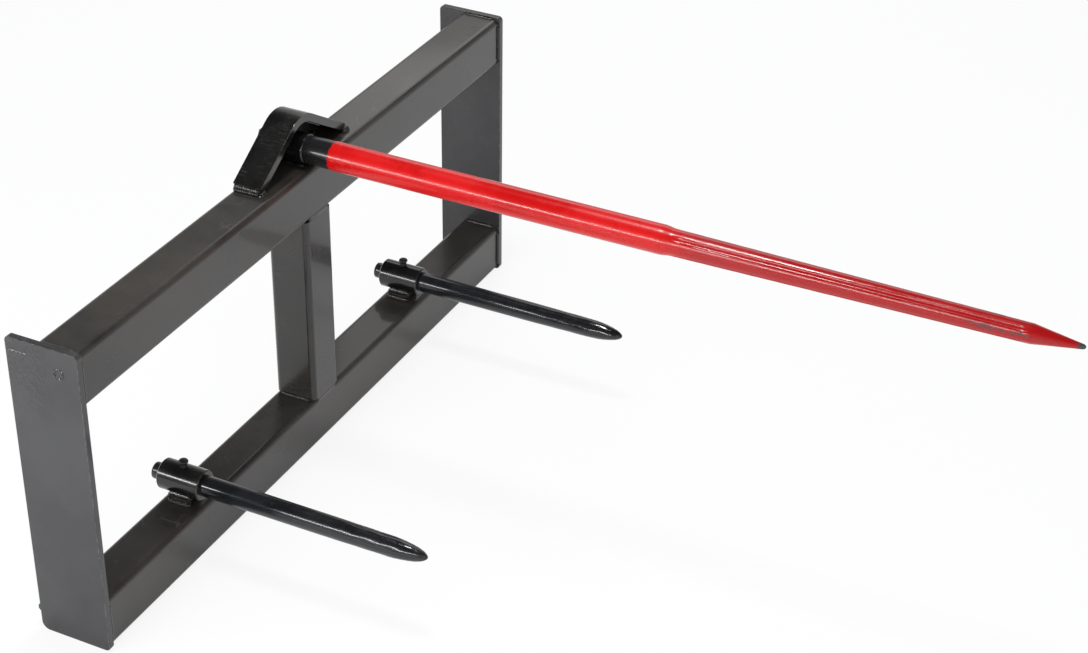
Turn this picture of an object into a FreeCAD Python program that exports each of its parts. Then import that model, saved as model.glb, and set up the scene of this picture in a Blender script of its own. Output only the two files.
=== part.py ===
"""Loader bale spear: a welded box-tube frame with one long spear and two short stabilisers.

Frame of the part, in millimetres: X runs along the width, the spears point to -Y, Z is up.
The origin is midway between the two end plates, on the line of their lower rear corners, so
Y = 0 is the plane that goes against the loader's carrier.
"""
import FreeCAD
import Part
import Sketcher
import math
import os

# Driving sizes: alias, value in millimetres (degrees where the name ends in _angle).
SIZES = [
    # frame
    ("frame_width", 1145.0),
    ("plate_thickness", 10.0),
    ("plate_depth", 111.0),
    ("plate_height", 471.0),
    ("plate_corner_radius", 7.0),
    ("plate_heel_radius", 12.0),
    ("tube_height", 80.0),
    ("tube_depth", 68.0),
    ("tube_wall", 6.0),
    ("tube_corner_radius", 9.0),
    ("tube_setback", 3.5),
    ("tube_floor_gap", 1.0),
    ("tube_top_gap", 3.5),
    ("post_width", 70.0),
    # lug inside the left end plate
    ("lug_thickness", 10.0),
    ("lug_height", 18.0),
    ("lug_reach", 12.0),
    ("lug_overlap", 30.0),
    ("lug_level", 25.0),
    ("lug_nose_chamfer", 6.0),
    # saddle over the main sleeve
    ("saddle_half_span", 108.5),
    ("saddle_height", 73.5),
    ("saddle_thickness", 12.0),
    ("saddle_width", 46.0),
    ("saddle_bend_radius", 50.0),
    ("saddle_setback", 1.5),
    ("web_thickness", 10.0),
    ("web_edge_gap", 0.2),
    # main sleeve and main spear
    ("sleeve_radius", 22.5),
    ("sleeve_setback", 11.0),
    ("sleeve_lip_chamfer", 2.0),
    ("sleeve_hole_gap", 0.2),
    ("seat_front_radius", 18.0),
    ("seat_rear_radius", 14.0),
    ("seat_gap", 0.15),
    ("seat_draw_gap", 1.5),
    ("root_radius", 20.8),
    ("root_length", 41.0),
    ("shaft_front_radius", 20.7),
    ("shaft_rear_radius", 21.4),
    ("shaft_length", 508.0),
    ("shoulder_length", 16.0),
    ("neck_radius", 18.6),
    ("taper_length", 488.0),
    ("point_base_radius", 13.4),
    ("point_length", 68.0),
    ("point_tip_radius", 3.0),
    ("flute_radius", 6.0),
    ("flute_depth", 2.2),
    ("flute_angle", 45.0),
    ("stud_radius", 12.0),
    ("stud_tail", 4.0),
    ("washer_radius", 20.0),
    ("washer_thickness", 3.0),
    ("washer_hole_gap", 0.5),
    ("nut_across_flats", 36.0),
    ("nut_height", 17.0),
    # stabilisers
    ("left_stabiliser_offset", 326.0),
    ("right_stabiliser_offset", 298.0),
    ("pad_width", 26.0),
    ("pad_length", 38.0),
    ("pad_height", 11.0),
    ("pad_rear_gap", 12.0),
    ("holder_radius", 22.5),
    ("holder_length", 68.0),
    ("holder_chamfer", 1.5),
    ("shank_gap", 0.2),
    ("shank_radius", 15.5),
    ("tail_radius", 12.5),
    ("tail_length", 15.0),
    ("blade_length", 215.0),
    ("blade_front_radius", 15.3),
    ("blade_taper_length", 78.0),
    ("nose_base_radius", 14.8),
    ("nose_length", 62.0),
    ("pin_radius", 5.0),
    ("pin_gap", 0.2),
    ("pin_depth", 8.0),
    ("pin_neck_length", 6.0),
    ("pin_head_radius", 7.0),
    ("pin_head_height", 5.5),
    # welds
    ("frame_bead", 3.0),
    ("saddle_bead", 6.0),
    ("pad_bead", 4.0),
    ("seam_reach", 7.2),
    ("web_weld_sleeve_gap", 12.0),
    ("web_weld_length", 51.0),
    ("sleeve_weld_inner", 7.5),
    ("sleeve_weld_outer", 15.0),
    ("sleeve_weld_height", 5.6),
    ("ring_weld_front_rise", 1.8),
    ("ring_weld_floor_gap", 1.5),
    ("holder_weld_width", 6.5),
    ("holder_weld_height", 5.6),
    ("plug_weld_radius", 9.0),
    ("plug_weld_height", 1.2),
    ("plug_weld_forward", 6.5),
    ("plug_weld_rise", 8.5),
    ("slot_weld_height", 4.0),
    ("slot_weld_length", 28.0),
    ("slot_weld_rear_gap", 4.0),
    ("slot_weld_drop", 20.0),
    # how far a cutter runs past what it cuts
    ("cutter_reach", 60.0),
]

NORMALS = {
    "+x": FreeCAD.Vector(1, 0, 0),
    "-x": FreeCAD.Vector(-1, 0, 0),
    "+y": FreeCAD.Vector(0, 1, 0),
    "-y": FreeCAD.Vector(0, -1, 0),
    "+z": FreeCAD.Vector(0, 0, 1),
    "-z": FreeCAD.Vector(0, 0, -1),
}
FORWARD = FreeCAD.Rotation(NORMALS["+z"], -90)
UPWARD = FreeCAD.Rotation(NORMALS["+y"], -90)
SIDES = (("left", -1), ("right", 1))
FLUTES = 4
HEXAGON = 6

doc = FreeCAD.newDocument("bale_spear")
sheet = doc.addObject("Spreadsheet::Sheet", "sizes")


def fill_sheet():
    """Write every driving size into its own aliased cell."""
    for row, (alias, value) in enumerate(SIZES, start=1):
        sheet.set(f"A{row}", alias)
        sheet.set(f"B{row}", str(value))
        sheet.setAlias(f"B{row}", alias)
    doc.recompute()


def size(alias):
    """The value of one driving size."""
    return float(sheet.get(alias))


def bound(text):
    """The expression with every alias read from the sheet."""
    words = []
    word = ""
    for letter in text + " ":
        if letter.isalnum() or letter == "_":
            word += letter
            continue
        words.append("sizes." + word if word in ALIASES else word)
        words.append(letter)
        word = ""
    return "".join(words).strip()


ALIASES = {alias for alias, _ in SIZES}


def bind(item, **expressions):
    """Tie properties of an object to expressions of the sheet's sizes."""
    for name, text in expressions.items():
        item.setExpression(name, bound(text))


def put(item, x="0", y="0", z="0", rotation=None):
    """Place an object at expressions of the sheet's sizes."""
    if rotation is not None:
        item.Placement = FreeCAD.Placement(FreeCAD.Vector(), rotation)
    for axis, text in (("x", x), ("y", y), ("z", z)):
        item.setExpression(f"Placement.Base.{axis}", bound(text))


# Places that several sub-parts share.
TUBE_FRONT = "-(plate_depth - tube_setback)"
TUBE_REAR = "-(plate_depth - tube_setback - tube_depth)"
TUBE_MIDDLE = "-(plate_depth - tube_setback - tube_depth / 2)"
TUBE_LENGTH = "(frame_width - 2 * plate_thickness)"
LEFT_WALL = "(-frame_width / 2 + plate_thickness)"
FRAME_TOP = "(plate_height - tube_top_gap)"
SADDLE_REAR = "-(plate_depth - tube_setback - tube_depth + saddle_setback)"
LOWER_TUBE_TOP = "(tube_floor_gap + tube_height)"
UPPER_TUBE_BOTTOM = "(plate_height - tube_top_gap - tube_height)"
SPEAR_LEVEL = "(plate_height - tube_top_gap + sleeve_radius)"
SLEEVE_FRONT = "-(plate_depth - tube_setback - sleeve_setback)"
SLEEVE_LENGTH = "(tube_depth - sleeve_setback)"
HOLDER_LEVEL = "(tube_floor_gap + tube_height + pad_height + holder_radius)"


# ---------------------------------------------------------------- builders

def origin_part(body, role):
    """One of a body's own origin planes or axes."""
    return next(part for part in body.Origin.OriginFeatures if part.Role == role)


def new_sketch(body, name, role):
    """A sketch lying on one of the body's origin planes."""
    sketch = body.newObject("Sketcher::SketchObject", name)
    sketch.AttachmentSupport = [(origin_part(body, role), "")]
    sketch.MapMode = "FlatFace"
    return sketch


def close_polygon(sketch, corners):
    """Draw a closed polygon whose corners are pairs of expressions, none of them negative."""
    points = []
    for across, up in corners:
        points.append(FreeCAD.Vector(value_of(across), value_of(up), 0))
    first = sketch.GeometryCount
    count = len(points)
    for index in range(count):
        sketch.addGeometry(Part.LineSegment(points[index], points[(index + 1) % count]), False)
    for index in range(count):
        following = first + (index + 1) % count
        sketch.addConstraint(Sketcher.Constraint("Coincident", first + index, 2, following, 1))
    for index, (across, up) in enumerate(corners):
        pin_coordinate(sketch, "DistanceX", first + index, across, -2)
        pin_coordinate(sketch, "DistanceY", first + index, up, -1)


def pin_coordinate(sketch, kind, line, text, axis):
    """Tie one coordinate of a line's start to an expression, or to the axis where it is zero."""
    if text == "0":
        sketch.addConstraint(Sketcher.Constraint("PointOnObject", line, 1, axis))
        return
    number = sketch.addConstraint(Sketcher.Constraint(kind, -1, 1, line, 1, value_of(text)))
    sketch.setExpression(f"Constraints[{number}]", bound(text))


def value_of(text):
    """The number that an expression of sizes gives."""
    probe = doc.getObject("probe") or doc.addObject("App::FeaturePython", "probe")
    if not hasattr(probe, "reading"):
        probe.addProperty("App::PropertyFloat", "reading")
    return float(probe.evalExpression(bound(text)))


def new_body(label):
    """A PartDesign body with its own label."""
    body = doc.addObject("PartDesign::Body", label)
    body.Label = label
    return body


def pad(body, sketch, length, name="pad"):
    """Pad a sketch by an expression."""
    feature = body.newObject("PartDesign::Pad", name)
    feature.Profile = sketch
    bind(feature, Length=length)
    doc.recompute()
    return feature


def turned_body(label, stations):
    """A solid of revolution about X: stations are (distance along, radius) expressions."""
    body = new_body(label)
    profile = new_sketch(body, label + "_profile", "XY_Plane")
    close_polygon(profile, stations)
    turning = body.newObject("PartDesign::Revolution", label + "_turning")
    turning.Profile = profile
    turning.ReferenceAxis = (profile, ["H_Axis"])
    turning.Angle = 360
    doc.recompute()
    return body


def edges_where(shape, test):
    """Names of the edges whose two ends both pass the test."""
    names = []
    for number, edge in enumerate(shape.Edges, start=1):
        if len(edge.Vertexes) == 2 and all(test(vertex.Point) for vertex in edge.Vertexes):
            names.append(f"Edge{number}")
    return names


def box(name, length, width, height):
    """A Part box whose three sizes are expressions."""
    item = doc.addObject("Part::Box", name)
    bind(item, Length=length, Width=width, Height=height)
    return item


def cylinder(name, radius, height):
    """A Part cylinder whose sizes are expressions."""
    item = doc.addObject("Part::Cylinder", name)
    bind(item, Radius=radius, Height=height)
    return item


def cut(label, base, tool):
    """One object less another."""
    item = doc.addObject("Part::Cut", label)
    item.Base = base
    item.Tool = tool
    item.Label = label
    return item


def group(label, items):
    """Several separate solids kept together as one sub-part."""
    item = doc.addObject("Part::Compound", label)
    item.Links = items
    item.Label = label
    return item


# ---------------------------------------------------------------- frame

def end_plate(side, sign):
    """Flat bar closing one end of the frame, its corners rounded and its heel rounded more."""
    label = side + "_end_plate"
    body = new_body(label)
    outline = new_sketch(body, label + "_outline", "YZ_Plane")
    close_polygon(outline, [("0", "0"), ("plate_depth", "0"), ("plate_depth", "plate_height"),
                            ("0", "plate_height")])
    plate = pad(body, outline, "plate_thickness", label + "_pad")
    rear = size("plate_depth")
    heel = cross_edges(plate.Shape, lambda point: near(point.y, rear) and near(point.z, 0))
    rounded = round_edges(body, plate, heel, "plate_heel_radius", label + "_heel")
    top = size("plate_height")
    others = cross_edges(rounded.Shape, lambda point: near(point.z, top)
                         or (near(point.y, 0) and near(point.z, 0)))
    round_edges(body, rounded, others, "plate_corner_radius", label + "_corners")
    inner = "-frame_width / 2" if sign < 0 else "frame_width / 2 - plate_thickness"
    put(body, inner, "-plate_depth", "0")
    return body


def near(value, target):
    """Whether two lengths agree to a hundredth of a millimetre."""
    return abs(value - target) < 0.01


def cross_edges(shape, test, direction="X"):
    """Edges parallel to one axis whose ends pass the test."""
    along = {"X": "XLength", "Z": "ZLength"}[direction]
    others = [name for name in ("XLength", "YLength", "ZLength") if name != along]
    names = []
    for name in edges_where(shape, test):
        bounds = shape.getElement(name).BoundBox
        if all(getattr(bounds, other) < 0.01 for other in others):
            names.append(name)
    return names


def round_edges(body, base, names, radius, label):
    """Fillet the named edges of the base feature."""
    feature = body.newObject("PartDesign::Fillet", label)
    feature.Base = (base, names)
    bind(feature, Radius=radius)
    doc.recompute()
    return feature


def box_tube(label, plane, across, up, length, direction):
    """Rolled box tube: hollow rectangle padded from a plane, its long edges rounded."""
    body = new_body(label)
    section = new_sketch(body, label + "_section", plane)
    close_polygon(section, [("0", "0"), (across, "0"), (across, up), ("0", up)])
    inner_across = f"{across} - tube_wall"
    inner_up = f"{up} - tube_wall"
    close_polygon(section, [
        ("tube_wall", "tube_wall"),
        (inner_across, "tube_wall"),
        (inner_across, inner_up),
        ("tube_wall", inner_up),
    ])
    tube = pad(body, section, length, label + "_pad")
    outer = round_edges(body, tube, long_edges(tube.Shape, direction, 0.0, across, up),
                        "tube_corner_radius", label + "_outer_corners")
    round_edges(body, outer, long_edges(outer.Shape, direction, size("tube_wall"), across, up),
                "tube_corner_radius - tube_wall", label + "_inner_corners")
    return body


def long_edges(shape, direction, inset, across, up):
    """The four long edges of a tube that stand a given inset inside its outer rectangle."""
    wide = value_of(across)
    high = value_of(up)

    def at_corner(point):
        first = point.y if direction == "X" else point.x
        second = point.z if direction == "X" else point.y
        return ((near(first, inset) or near(first, wide - inset))
                and (near(second, inset) or near(second, high - inset)))

    return cross_edges(shape, at_corner, direction)


def cross_tube(label, level):
    """One of the two horizontal tubes between the end plates."""
    tube = box_tube(label, "YZ_Plane", "tube_depth", "tube_height", TUBE_LENGTH, "X")
    put(tube, "-frame_width / 2 + plate_thickness", TUBE_FRONT, level)
    return tube


def centre_post():
    """The upright tube between the two horizontal ones."""
    post = box_tube("centre_post", "XY_Plane", "post_width", "tube_depth",
                    f"{UPPER_TUBE_BOTTOM} - {LOWER_TUBE_TOP}", "Z")
    put(post, "-post_width / 2", TUBE_FRONT, LOWER_TUBE_TOP)
    return post


def rear_lug():
    """Short bar inside the left end plate that reaches behind it at the bottom."""
    body = new_body("rear_lug")
    outline = new_sketch(body, "rear_lug_outline", "YZ_Plane")
    end = "lug_overlap + lug_reach"
    close_polygon(outline, [
        ("0", "0"),
        (f"{end} - lug_nose_chamfer", "0"),
        (end, "lug_nose_chamfer"),
        (end, "lug_height - lug_nose_chamfer"),
        (f"{end} - lug_nose_chamfer", "lug_height"),
        ("0", "lug_height"),
    ])
    pad(body, outline, "lug_thickness", "rear_lug_pad")
    put(body, LEFT_WALL, "-lug_overlap", "lug_level - lug_height / 2")
    return body


# ---------------------------------------------------------------- saddle

def leg_angle():
    """Angle in radians from the horizontal to the normal of the saddle's legs."""
    span = size("saddle_half_span")
    centre = size("saddle_height") - size("saddle_bend_radius")
    radius = size("saddle_bend_radius") - size("saddle_thickness")
    return math.acos(radius / math.hypot(span, centre)) - math.atan2(centre, span)


def leg_and_bend(sketch, inset, reference=None):
    """Add one leg line and the bend above it, set in from the saddle's outer face.

    The line with no reference is the inner face and stands on the tube. A line with one is
    parallel to it and ends on the tube too, or square to the leg where the inset is zero.
    """
    angle = leg_angle()
    depth = value_of(inset)
    thickness = size("saddle_thickness")
    radius = size("saddle_bend_radius") - depth
    centre = FreeCAD.Vector(0, size("saddle_height") - size("saddle_bend_radius"), 0)
    normal = FreeCAD.Vector(math.cos(angle), math.sin(angle), 0)
    foot = FreeCAD.Vector(size("saddle_half_span") - (depth - thickness) / math.cos(angle), 0, 0)
    if inset == "0":
        foot = FreeCAD.Vector(size("saddle_half_span"), 0, 0) + normal * thickness
    circle = Part.Circle(centre, NORMALS["+z"], radius)
    line = sketch.addGeometry(Part.LineSegment(foot, centre + normal * radius), False)
    arc = sketch.addGeometry(Part.ArcOfCircle(circle, angle, math.pi / 2), False)
    sketch.addConstraint(Sketcher.Constraint("Tangent", line, 2, arc, 1))
    sketch.addConstraint(Sketcher.Constraint("PointOnObject", arc, 2, -2))
    bend = sketch.addConstraint(Sketcher.Constraint("Radius", arc, radius))
    sketch.setExpression(f"Constraints[{bend}]", bound(f"saddle_bend_radius - ({inset})"))
    if inset != "0":
        sketch.addConstraint(Sketcher.Constraint("PointOnObject", line, 1, -1))
    if reference is not None:
        sketch.addConstraint(Sketcher.Constraint("Coincident", arc, 3, reference[1], 3))
        sketch.addConstraint(Sketcher.Constraint("Parallel", line, reference[0]))
        return line, arc
    sketch.addConstraint(Sketcher.Constraint("PointOnObject", arc, 3, -2))
    pin_coordinate(sketch, "DistanceX", line, "saddle_half_span", -2)
    rise = sketch.addConstraint(Sketcher.Constraint("DistanceY", -1, 1, arc, 3, centre.y))
    sketch.setExpression(f"Constraints[{rise}]", bound("saddle_height - saddle_bend_radius"))
    return line, arc


def join_line(sketch, start, end):
    """Close a gap in a sketch with a straight line between two existing points."""
    first = sketch.getPoint(*start)
    second = sketch.getPoint(*end)
    line = sketch.addGeometry(Part.LineSegment(first, second), False)
    sketch.addConstraint(Sketcher.Constraint("Coincident", line, 1, *start))
    sketch.addConstraint(Sketcher.Constraint("Coincident", line, 2, *end))
    return line


def mirror_halves(body, feature, label):
    """Repeat half a body on the other side of the centre plane."""
    mirrored = body.newObject("PartDesign::Mirrored", label)
    mirrored.Originals = [feature]
    mirrored.MirrorPlane = (origin_part(body, "YZ_Plane"), [""])
    body.Tip = mirrored
    doc.recompute()


def saddle_strap():
    """Flat bar bent over the main sleeve, its ends cut square and standing on the upper tube."""
    body = new_body("saddle_strap")
    outline = new_sketch(body, "saddle_outline", "XZ_Plane")
    inner = leg_and_bend(outline, "saddle_thickness")
    outer = leg_and_bend(outline, "0", inner)
    join_line(outline, (outer[1], 2), (inner[1], 2))
    end = join_line(outline, (inner[0], 1), (outer[0], 1))
    outline.addConstraint(Sketcher.Constraint("Perpendicular", end, inner[0]))
    half = pad(body, outline, "saddle_width", "saddle_half")
    mirror_halves(body, half, "saddle_halves")
    put(body, "0", SADDLE_REAR, FRAME_TOP)
    return body


def saddle_web():
    """Plate that closes the back of the saddle, with the hole that the main sleeve goes through."""
    body = new_body("saddle_web_blank")
    outline = new_sketch(body, "web_outline", "XZ_Plane")
    guide = leg_and_bend(outline, "saddle_thickness")
    for line in guide:
        outline.setConstruction(line, True)
    edge = leg_and_bend(outline, "saddle_thickness + web_edge_gap", guide)
    corner = outline.addGeometry(Part.LineSegment(outline.getPoint(edge[1], 2),
                                                  FreeCAD.Vector(0, 0, 0)), False)
    outline.addConstraint(Sketcher.Constraint("Coincident", corner, 1, edge[1], 2))
    outline.addConstraint(Sketcher.Constraint("Coincident", corner, 2, -1, 1))
    join_line(outline, (corner, 2), (edge[0], 1))
    half = pad(body, outline, "web_thickness", "web_half")
    mirror_halves(body, half, "web_halves")
    put(body, "0", TUBE_REAR, FRAME_TOP)
    hole = cylinder("web_hole", "sleeve_radius + sleeve_hole_gap", "2 * cutter_reach")
    put(hole, "0", f"{TUBE_REAR} + cutter_reach", SPEAR_LEVEL, lying(NORMALS["-y"]))
    return cut("saddle_web", body, hole)


def lying(direction):
    """Rotation that turns the Z axis of a primitive towards a direction."""
    return FreeCAD.Rotation(NORMALS["+z"], direction)


# ---------------------------------------------------------------- main spear

def main_sleeve():
    """Bushing with the tapered seat of the main spear."""
    sleeve = turned_body("main_sleeve", [
        ("0", "seat_rear_radius + seat_gap"),
        ("0", "sleeve_radius"),
        (f"{SLEEVE_LENGTH} - sleeve_lip_chamfer", "sleeve_radius"),
        (SLEEVE_LENGTH, "sleeve_radius - sleeve_lip_chamfer"),
        (SLEEVE_LENGTH, "seat_front_radius + seat_gap"),
    ])
    put(sleeve, "0", TUBE_REAR, SPEAR_LEVEL, FORWARD)
    return sleeve


STUD_LENGTH = "(washer_thickness + nut_height + stud_tail)"
ROOT_START = f"({STUD_LENGTH} + {SLEEVE_LENGTH})"
SHAFT_START = f"({ROOT_START} + root_length)"
SHAFT_END = f"({SHAFT_START} + shaft_length)"
NECK_START = f"({SHAFT_END} + shoulder_length)"
POINT_START = f"({NECK_START} + taper_length)"
SPEAR_LENGTH = f"({POINT_START} + point_length)"


def main_spear():
    """Forged spear: stud, tapered seat, dark root, long shaft, fluted taper and point."""
    spear = turned_body("main_spear", [
        ("0", "0"),
        ("0", "stud_radius"),
        (f"{STUD_LENGTH} + seat_draw_gap", "stud_radius"),
        (f"{STUD_LENGTH} + seat_draw_gap", "seat_rear_radius"),
        (ROOT_START, "seat_front_radius"),
        (ROOT_START, "root_radius"),
        (SHAFT_START, "root_radius"),
        (SHAFT_START, "shaft_rear_radius"),
        (SHAFT_END, "shaft_front_radius"),
        (NECK_START, "neck_radius"),
        (POINT_START, "point_base_radius"),
        (f"{SPEAR_LENGTH} - point_tip_radius", "point_tip_radius"),
        (SPEAR_LENGTH, "0"),
    ])
    cut_flutes(spear)
    put(spear, "0", f"{TUBE_REAR} + {STUD_LENGTH}", SPEAR_LEVEL, FORWARD)
    return spear


def cut_flutes(spear):
    """Round-bottomed flutes along the taper, on its four diagonals."""
    fall = size("neck_radius") - size("point_base_radius")
    run = size("taper_length")
    slope = math.degrees(math.atan2(fall, run))
    flute = spear.newObject("PartDesign::SubtractiveCylinder", "flute")
    flute.AttachmentSupport = [(origin_part(spear, "XY_Plane"), "")]
    flute.MapMode = "FlatFace"
    along = FreeCAD.Rotation(NORMALS["+y"], 90 + slope)
    around = FreeCAD.Rotation(NORMALS["+x"], size("flute_angle"))
    flute.AttachmentOffset = FreeCAD.Placement(FreeCAD.Vector(), around.multiply(along))
    stand_off = "neck_radius + flute_radius - flute_depth"
    flute.setExpression("AttachmentOffset.Base.x", bound(NECK_START))
    flute.setExpression("AttachmentOffset.Base.y", bound(f"-({stand_off}) * sin(flute_angle * 1 deg)"))
    flute.setExpression("AttachmentOffset.Base.z", bound(f"({stand_off}) * cos(flute_angle * 1 deg)"))
    bind(flute, Radius="flute_radius", Height="taper_length")
    doc.recompute()
    pattern = spear.newObject("PartDesign::PolarPattern", "flutes")
    pattern.Originals = [flute]
    pattern.Axis = (origin_part(spear, "X_Axis"), [""])
    pattern.Angle = 360
    pattern.Occurrences = FLUTES
    spear.Tip = pattern
    doc.recompute()


def main_washer():
    """Washer under the nut that draws the spear into its seat."""
    washer = turned_body("main_spear_washer", [
        ("0", "stud_radius + washer_hole_gap"),
        ("0", "washer_radius"),
        ("washer_thickness", "washer_radius"),
        ("washer_thickness", "stud_radius + washer_hole_gap"),
    ])
    put(washer, "0", f"{TUBE_REAR} + washer_thickness", SPEAR_LEVEL, FORWARD)
    return washer


def main_nut():
    """Hexagon nut on the spear's stud."""
    blank = doc.addObject("Part::Prism", "nut_blank")
    blank.Polygon = HEXAGON
    bind(blank, Circumradius="nut_across_flats / 2 / cos(30 deg)", Height="nut_height")
    bore = cylinder("nut_bore", "stud_radius", "nut_height")
    for item in (blank, bore):
        put(item, "0", f"{TUBE_REAR} + washer_thickness", SPEAR_LEVEL,
            lying(NORMALS["+y"]))
    return cut("main_spear_nut", blank, bore)


# ---------------------------------------------------------------- stabilisers

def stabiliser_x(sign):
    """X of one stabiliser's axis."""
    return "-left_stabiliser_offset" if sign < 0 else "right_stabiliser_offset"


def stabiliser_pad(side, sign):
    """Flat block between the lower tube and the stabiliser's sleeve."""
    block = box(side + "_stabiliser_pad", "pad_width", "pad_length", "pad_height")
    put(block, f"{stabiliser_x(sign)} - pad_width / 2",
        f"{TUBE_REAR} - pad_rear_gap - pad_length", LOWER_TUBE_TOP)
    return block


PIN_BOTTOM = f"({HOLDER_LEVEL} + shank_radius - pin_depth)"


def pin_hole(name, sign):
    """Cutter for the retaining pin's hole, from the pin's foot up through the sleeve."""
    hole = cylinder(name, "pin_radius + pin_gap", "cutter_reach")
    put(hole, stabiliser_x(sign), TUBE_MIDDLE, f"{PIN_BOTTOM} - pin_gap")
    return hole


def stabiliser_sleeve(side, sign):
    """Short tube that holds a stabiliser, with the retaining pin's hole on top."""
    blank = turned_body(side + "_sleeve_blank", [
        ("0", "shank_radius + shank_gap"),
        ("0", "holder_radius - holder_chamfer"),
        ("holder_chamfer", "holder_radius"),
        ("holder_length - holder_chamfer", "holder_radius"),
        ("holder_length", "holder_radius - holder_chamfer"),
        ("holder_length", "shank_radius + shank_gap"),
    ])
    put(blank, stabiliser_x(sign), f"{TUBE_MIDDLE} + holder_length / 2", HOLDER_LEVEL, FORWARD)
    return cut(side + "_stabiliser_sleeve", blank, pin_hole(side + "_sleeve_pin_hole", sign))


NOSE_STEPS = (0.5, 0.8, 0.95)
BLADE_END = "(tail_length + holder_length + blade_length)"
NOSE_START = f"({BLADE_END} + blade_taper_length)"


def stabiliser_spear(side, sign):
    """Short forged spear: tail, shank in the sleeve, tapering blade and rounded nose."""
    stations = [
        ("0", "0"),
        ("0", "tail_radius"),
        ("tail_length", "tail_radius"),
        ("tail_length", "shank_radius"),
        ("tail_length + holder_length", "shank_radius"),
        (BLADE_END, "blade_front_radius"),
        (NOSE_START, "nose_base_radius"),
    ]
    for step in NOSE_STEPS:
        stations.append((f"{NOSE_START} + nose_length * {step}",
                         f"nose_base_radius * sqrt(1 - {step} ^ 2)"))
    stations.append((f"{NOSE_START} + nose_length", "0"))
    blank = turned_body(side + "_spear_blank", stations)
    put(blank, stabiliser_x(sign), f"{TUBE_MIDDLE} + holder_length / 2 + tail_length",
        HOLDER_LEVEL, FORWARD)
    return cut(side + "_stabiliser_spear", blank, pin_hole(side + "_spear_pin_hole", sign))


def stabiliser_pin(side, sign):
    """Headed pin that keeps the stabiliser in its sleeve."""
    shank = "pin_depth + holder_radius - shank_radius + pin_neck_length"
    pin = turned_body(side + "_stabiliser_pin", [
        ("0", "0"),
        ("0", "pin_radius"),
        (shank, "pin_radius"),
        (shank, "pin_head_radius"),
        (f"{shank} + pin_head_height", "pin_head_radius"),
        (f"{shank} + pin_head_height", "0"),
    ])
    put(pin, stabiliser_x(sign), TUBE_MIDDLE, PIN_BOTTOM, UPWARD)
    return pin


# ---------------------------------------------------------------- welds

def bead(name, faces, radius, length, place, angle="90"):
    """Round-faced weld in the corner of two faces, given by their outward directions.

    It runs from the place along the first direction turned towards the second.
    """
    first = NORMALS[faces[0]]
    second = NORMALS[faces[1]]
    item = cylinder(name, radius, length)
    bind(item, Angle=angle)
    put(item, *place, FreeCAD.Rotation(first, second, first.cross(second), "XYZ"))
    return item


def tube_end_welds():
    """Beads round the ends of both horizontal tubes, on the inner faces of the end plates."""
    flat = "tube_depth - 2 * tube_corner_radius"
    high = "tube_height - 2 * tube_corner_radius"
    edge = f"{TUBE_FRONT} + tube_corner_radius"
    beads = []
    for side, sign in SIDES:
        wall = f"{sign} * (frame_width / 2 - plate_thickness)"
        inward = "+x" if sign < 0 else "-x"
        over = ("+z", inward) if sign < 0 else (inward, "+z")
        front = ("-y", inward) if sign < 0 else (inward, "-y")
        rear = (inward, "+y") if sign < 0 else ("+y", inward)
        for tube, bottom in (("upper", UPPER_TUBE_BOTTOM), ("lower", "tube_floor_gap")):
            name = f"{side}_{tube}_end_weld"
            rise = f"{bottom} + tube_corner_radius"
            beads.append(bead(name + "_top", over, "frame_bead", flat,
                              (wall, edge, f"{bottom} + tube_height")))
            beads.append(bead(name + "_front", front, "frame_bead", high,
                              (wall, TUBE_FRONT, rise)))
            beads.append(bead(name + "_rear", rear, "frame_bead", high,
                              (wall, TUBE_REAR, rise)))
    return group("tube_end_welds", beads)


def seam_weld(name, front, inward, level, downward):
    """Weld that fills a tube's rounded corner under the flush face of the centre post.

    The signs say which way the tube's depth runs from that face, and whether the tube lies
    below or above the level.
    """
    block = box(name + "_block", "post_width - 2 * tube_corner_radius", "seam_reach", "seam_reach")
    put(block, "-post_width / 2 + tube_corner_radius",
        front if inward > 0 else f"{front} - seam_reach",
        f"{level} - seam_reach" if downward > 0 else level)
    corner = cylinder(name + "_corner", "tube_corner_radius", "post_width")
    put(corner, "-post_width / 2", f"{front} + {inward} * tube_corner_radius",
        f"{level} - {downward} * tube_corner_radius", lying(NORMALS["+x"]))
    return cut(name, block, corner)


def centre_post_welds():
    """Beads along both sides of the centre post and fillings under its flush faces."""
    flat = "tube_depth - 2 * tube_corner_radius"
    edge = f"{TUBE_FRONT} + tube_corner_radius"
    beads = []
    for side, sign in SIDES:
        wall = f"{sign} * post_width / 2"
        outward = "-x" if sign < 0 else "+x"
        foot = (outward, "+z") if sign < 0 else ("+z", outward)
        head = ("-z", outward) if sign < 0 else (outward, "-z")
        beads.append(bead(f"post_foot_weld_{side}", foot, "frame_bead", flat,
                          (wall, edge, LOWER_TUBE_TOP)))
        beads.append(bead(f"post_head_weld_{side}", head, "frame_bead", flat,
                          (wall, edge, UPPER_TUBE_BOTTOM)))
    for end, level, downward in (("foot", LOWER_TUBE_TOP, 1), ("head", UPPER_TUBE_BOTTOM, -1)):
        beads.append(seam_weld(f"post_{end}_front_seam", TUBE_FRONT, 1, level, downward))
        beads.append(seam_weld(f"post_{end}_rear_seam", TUBE_REAR, -1, level, downward))
    return group("centre_post_welds", beads)


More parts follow.
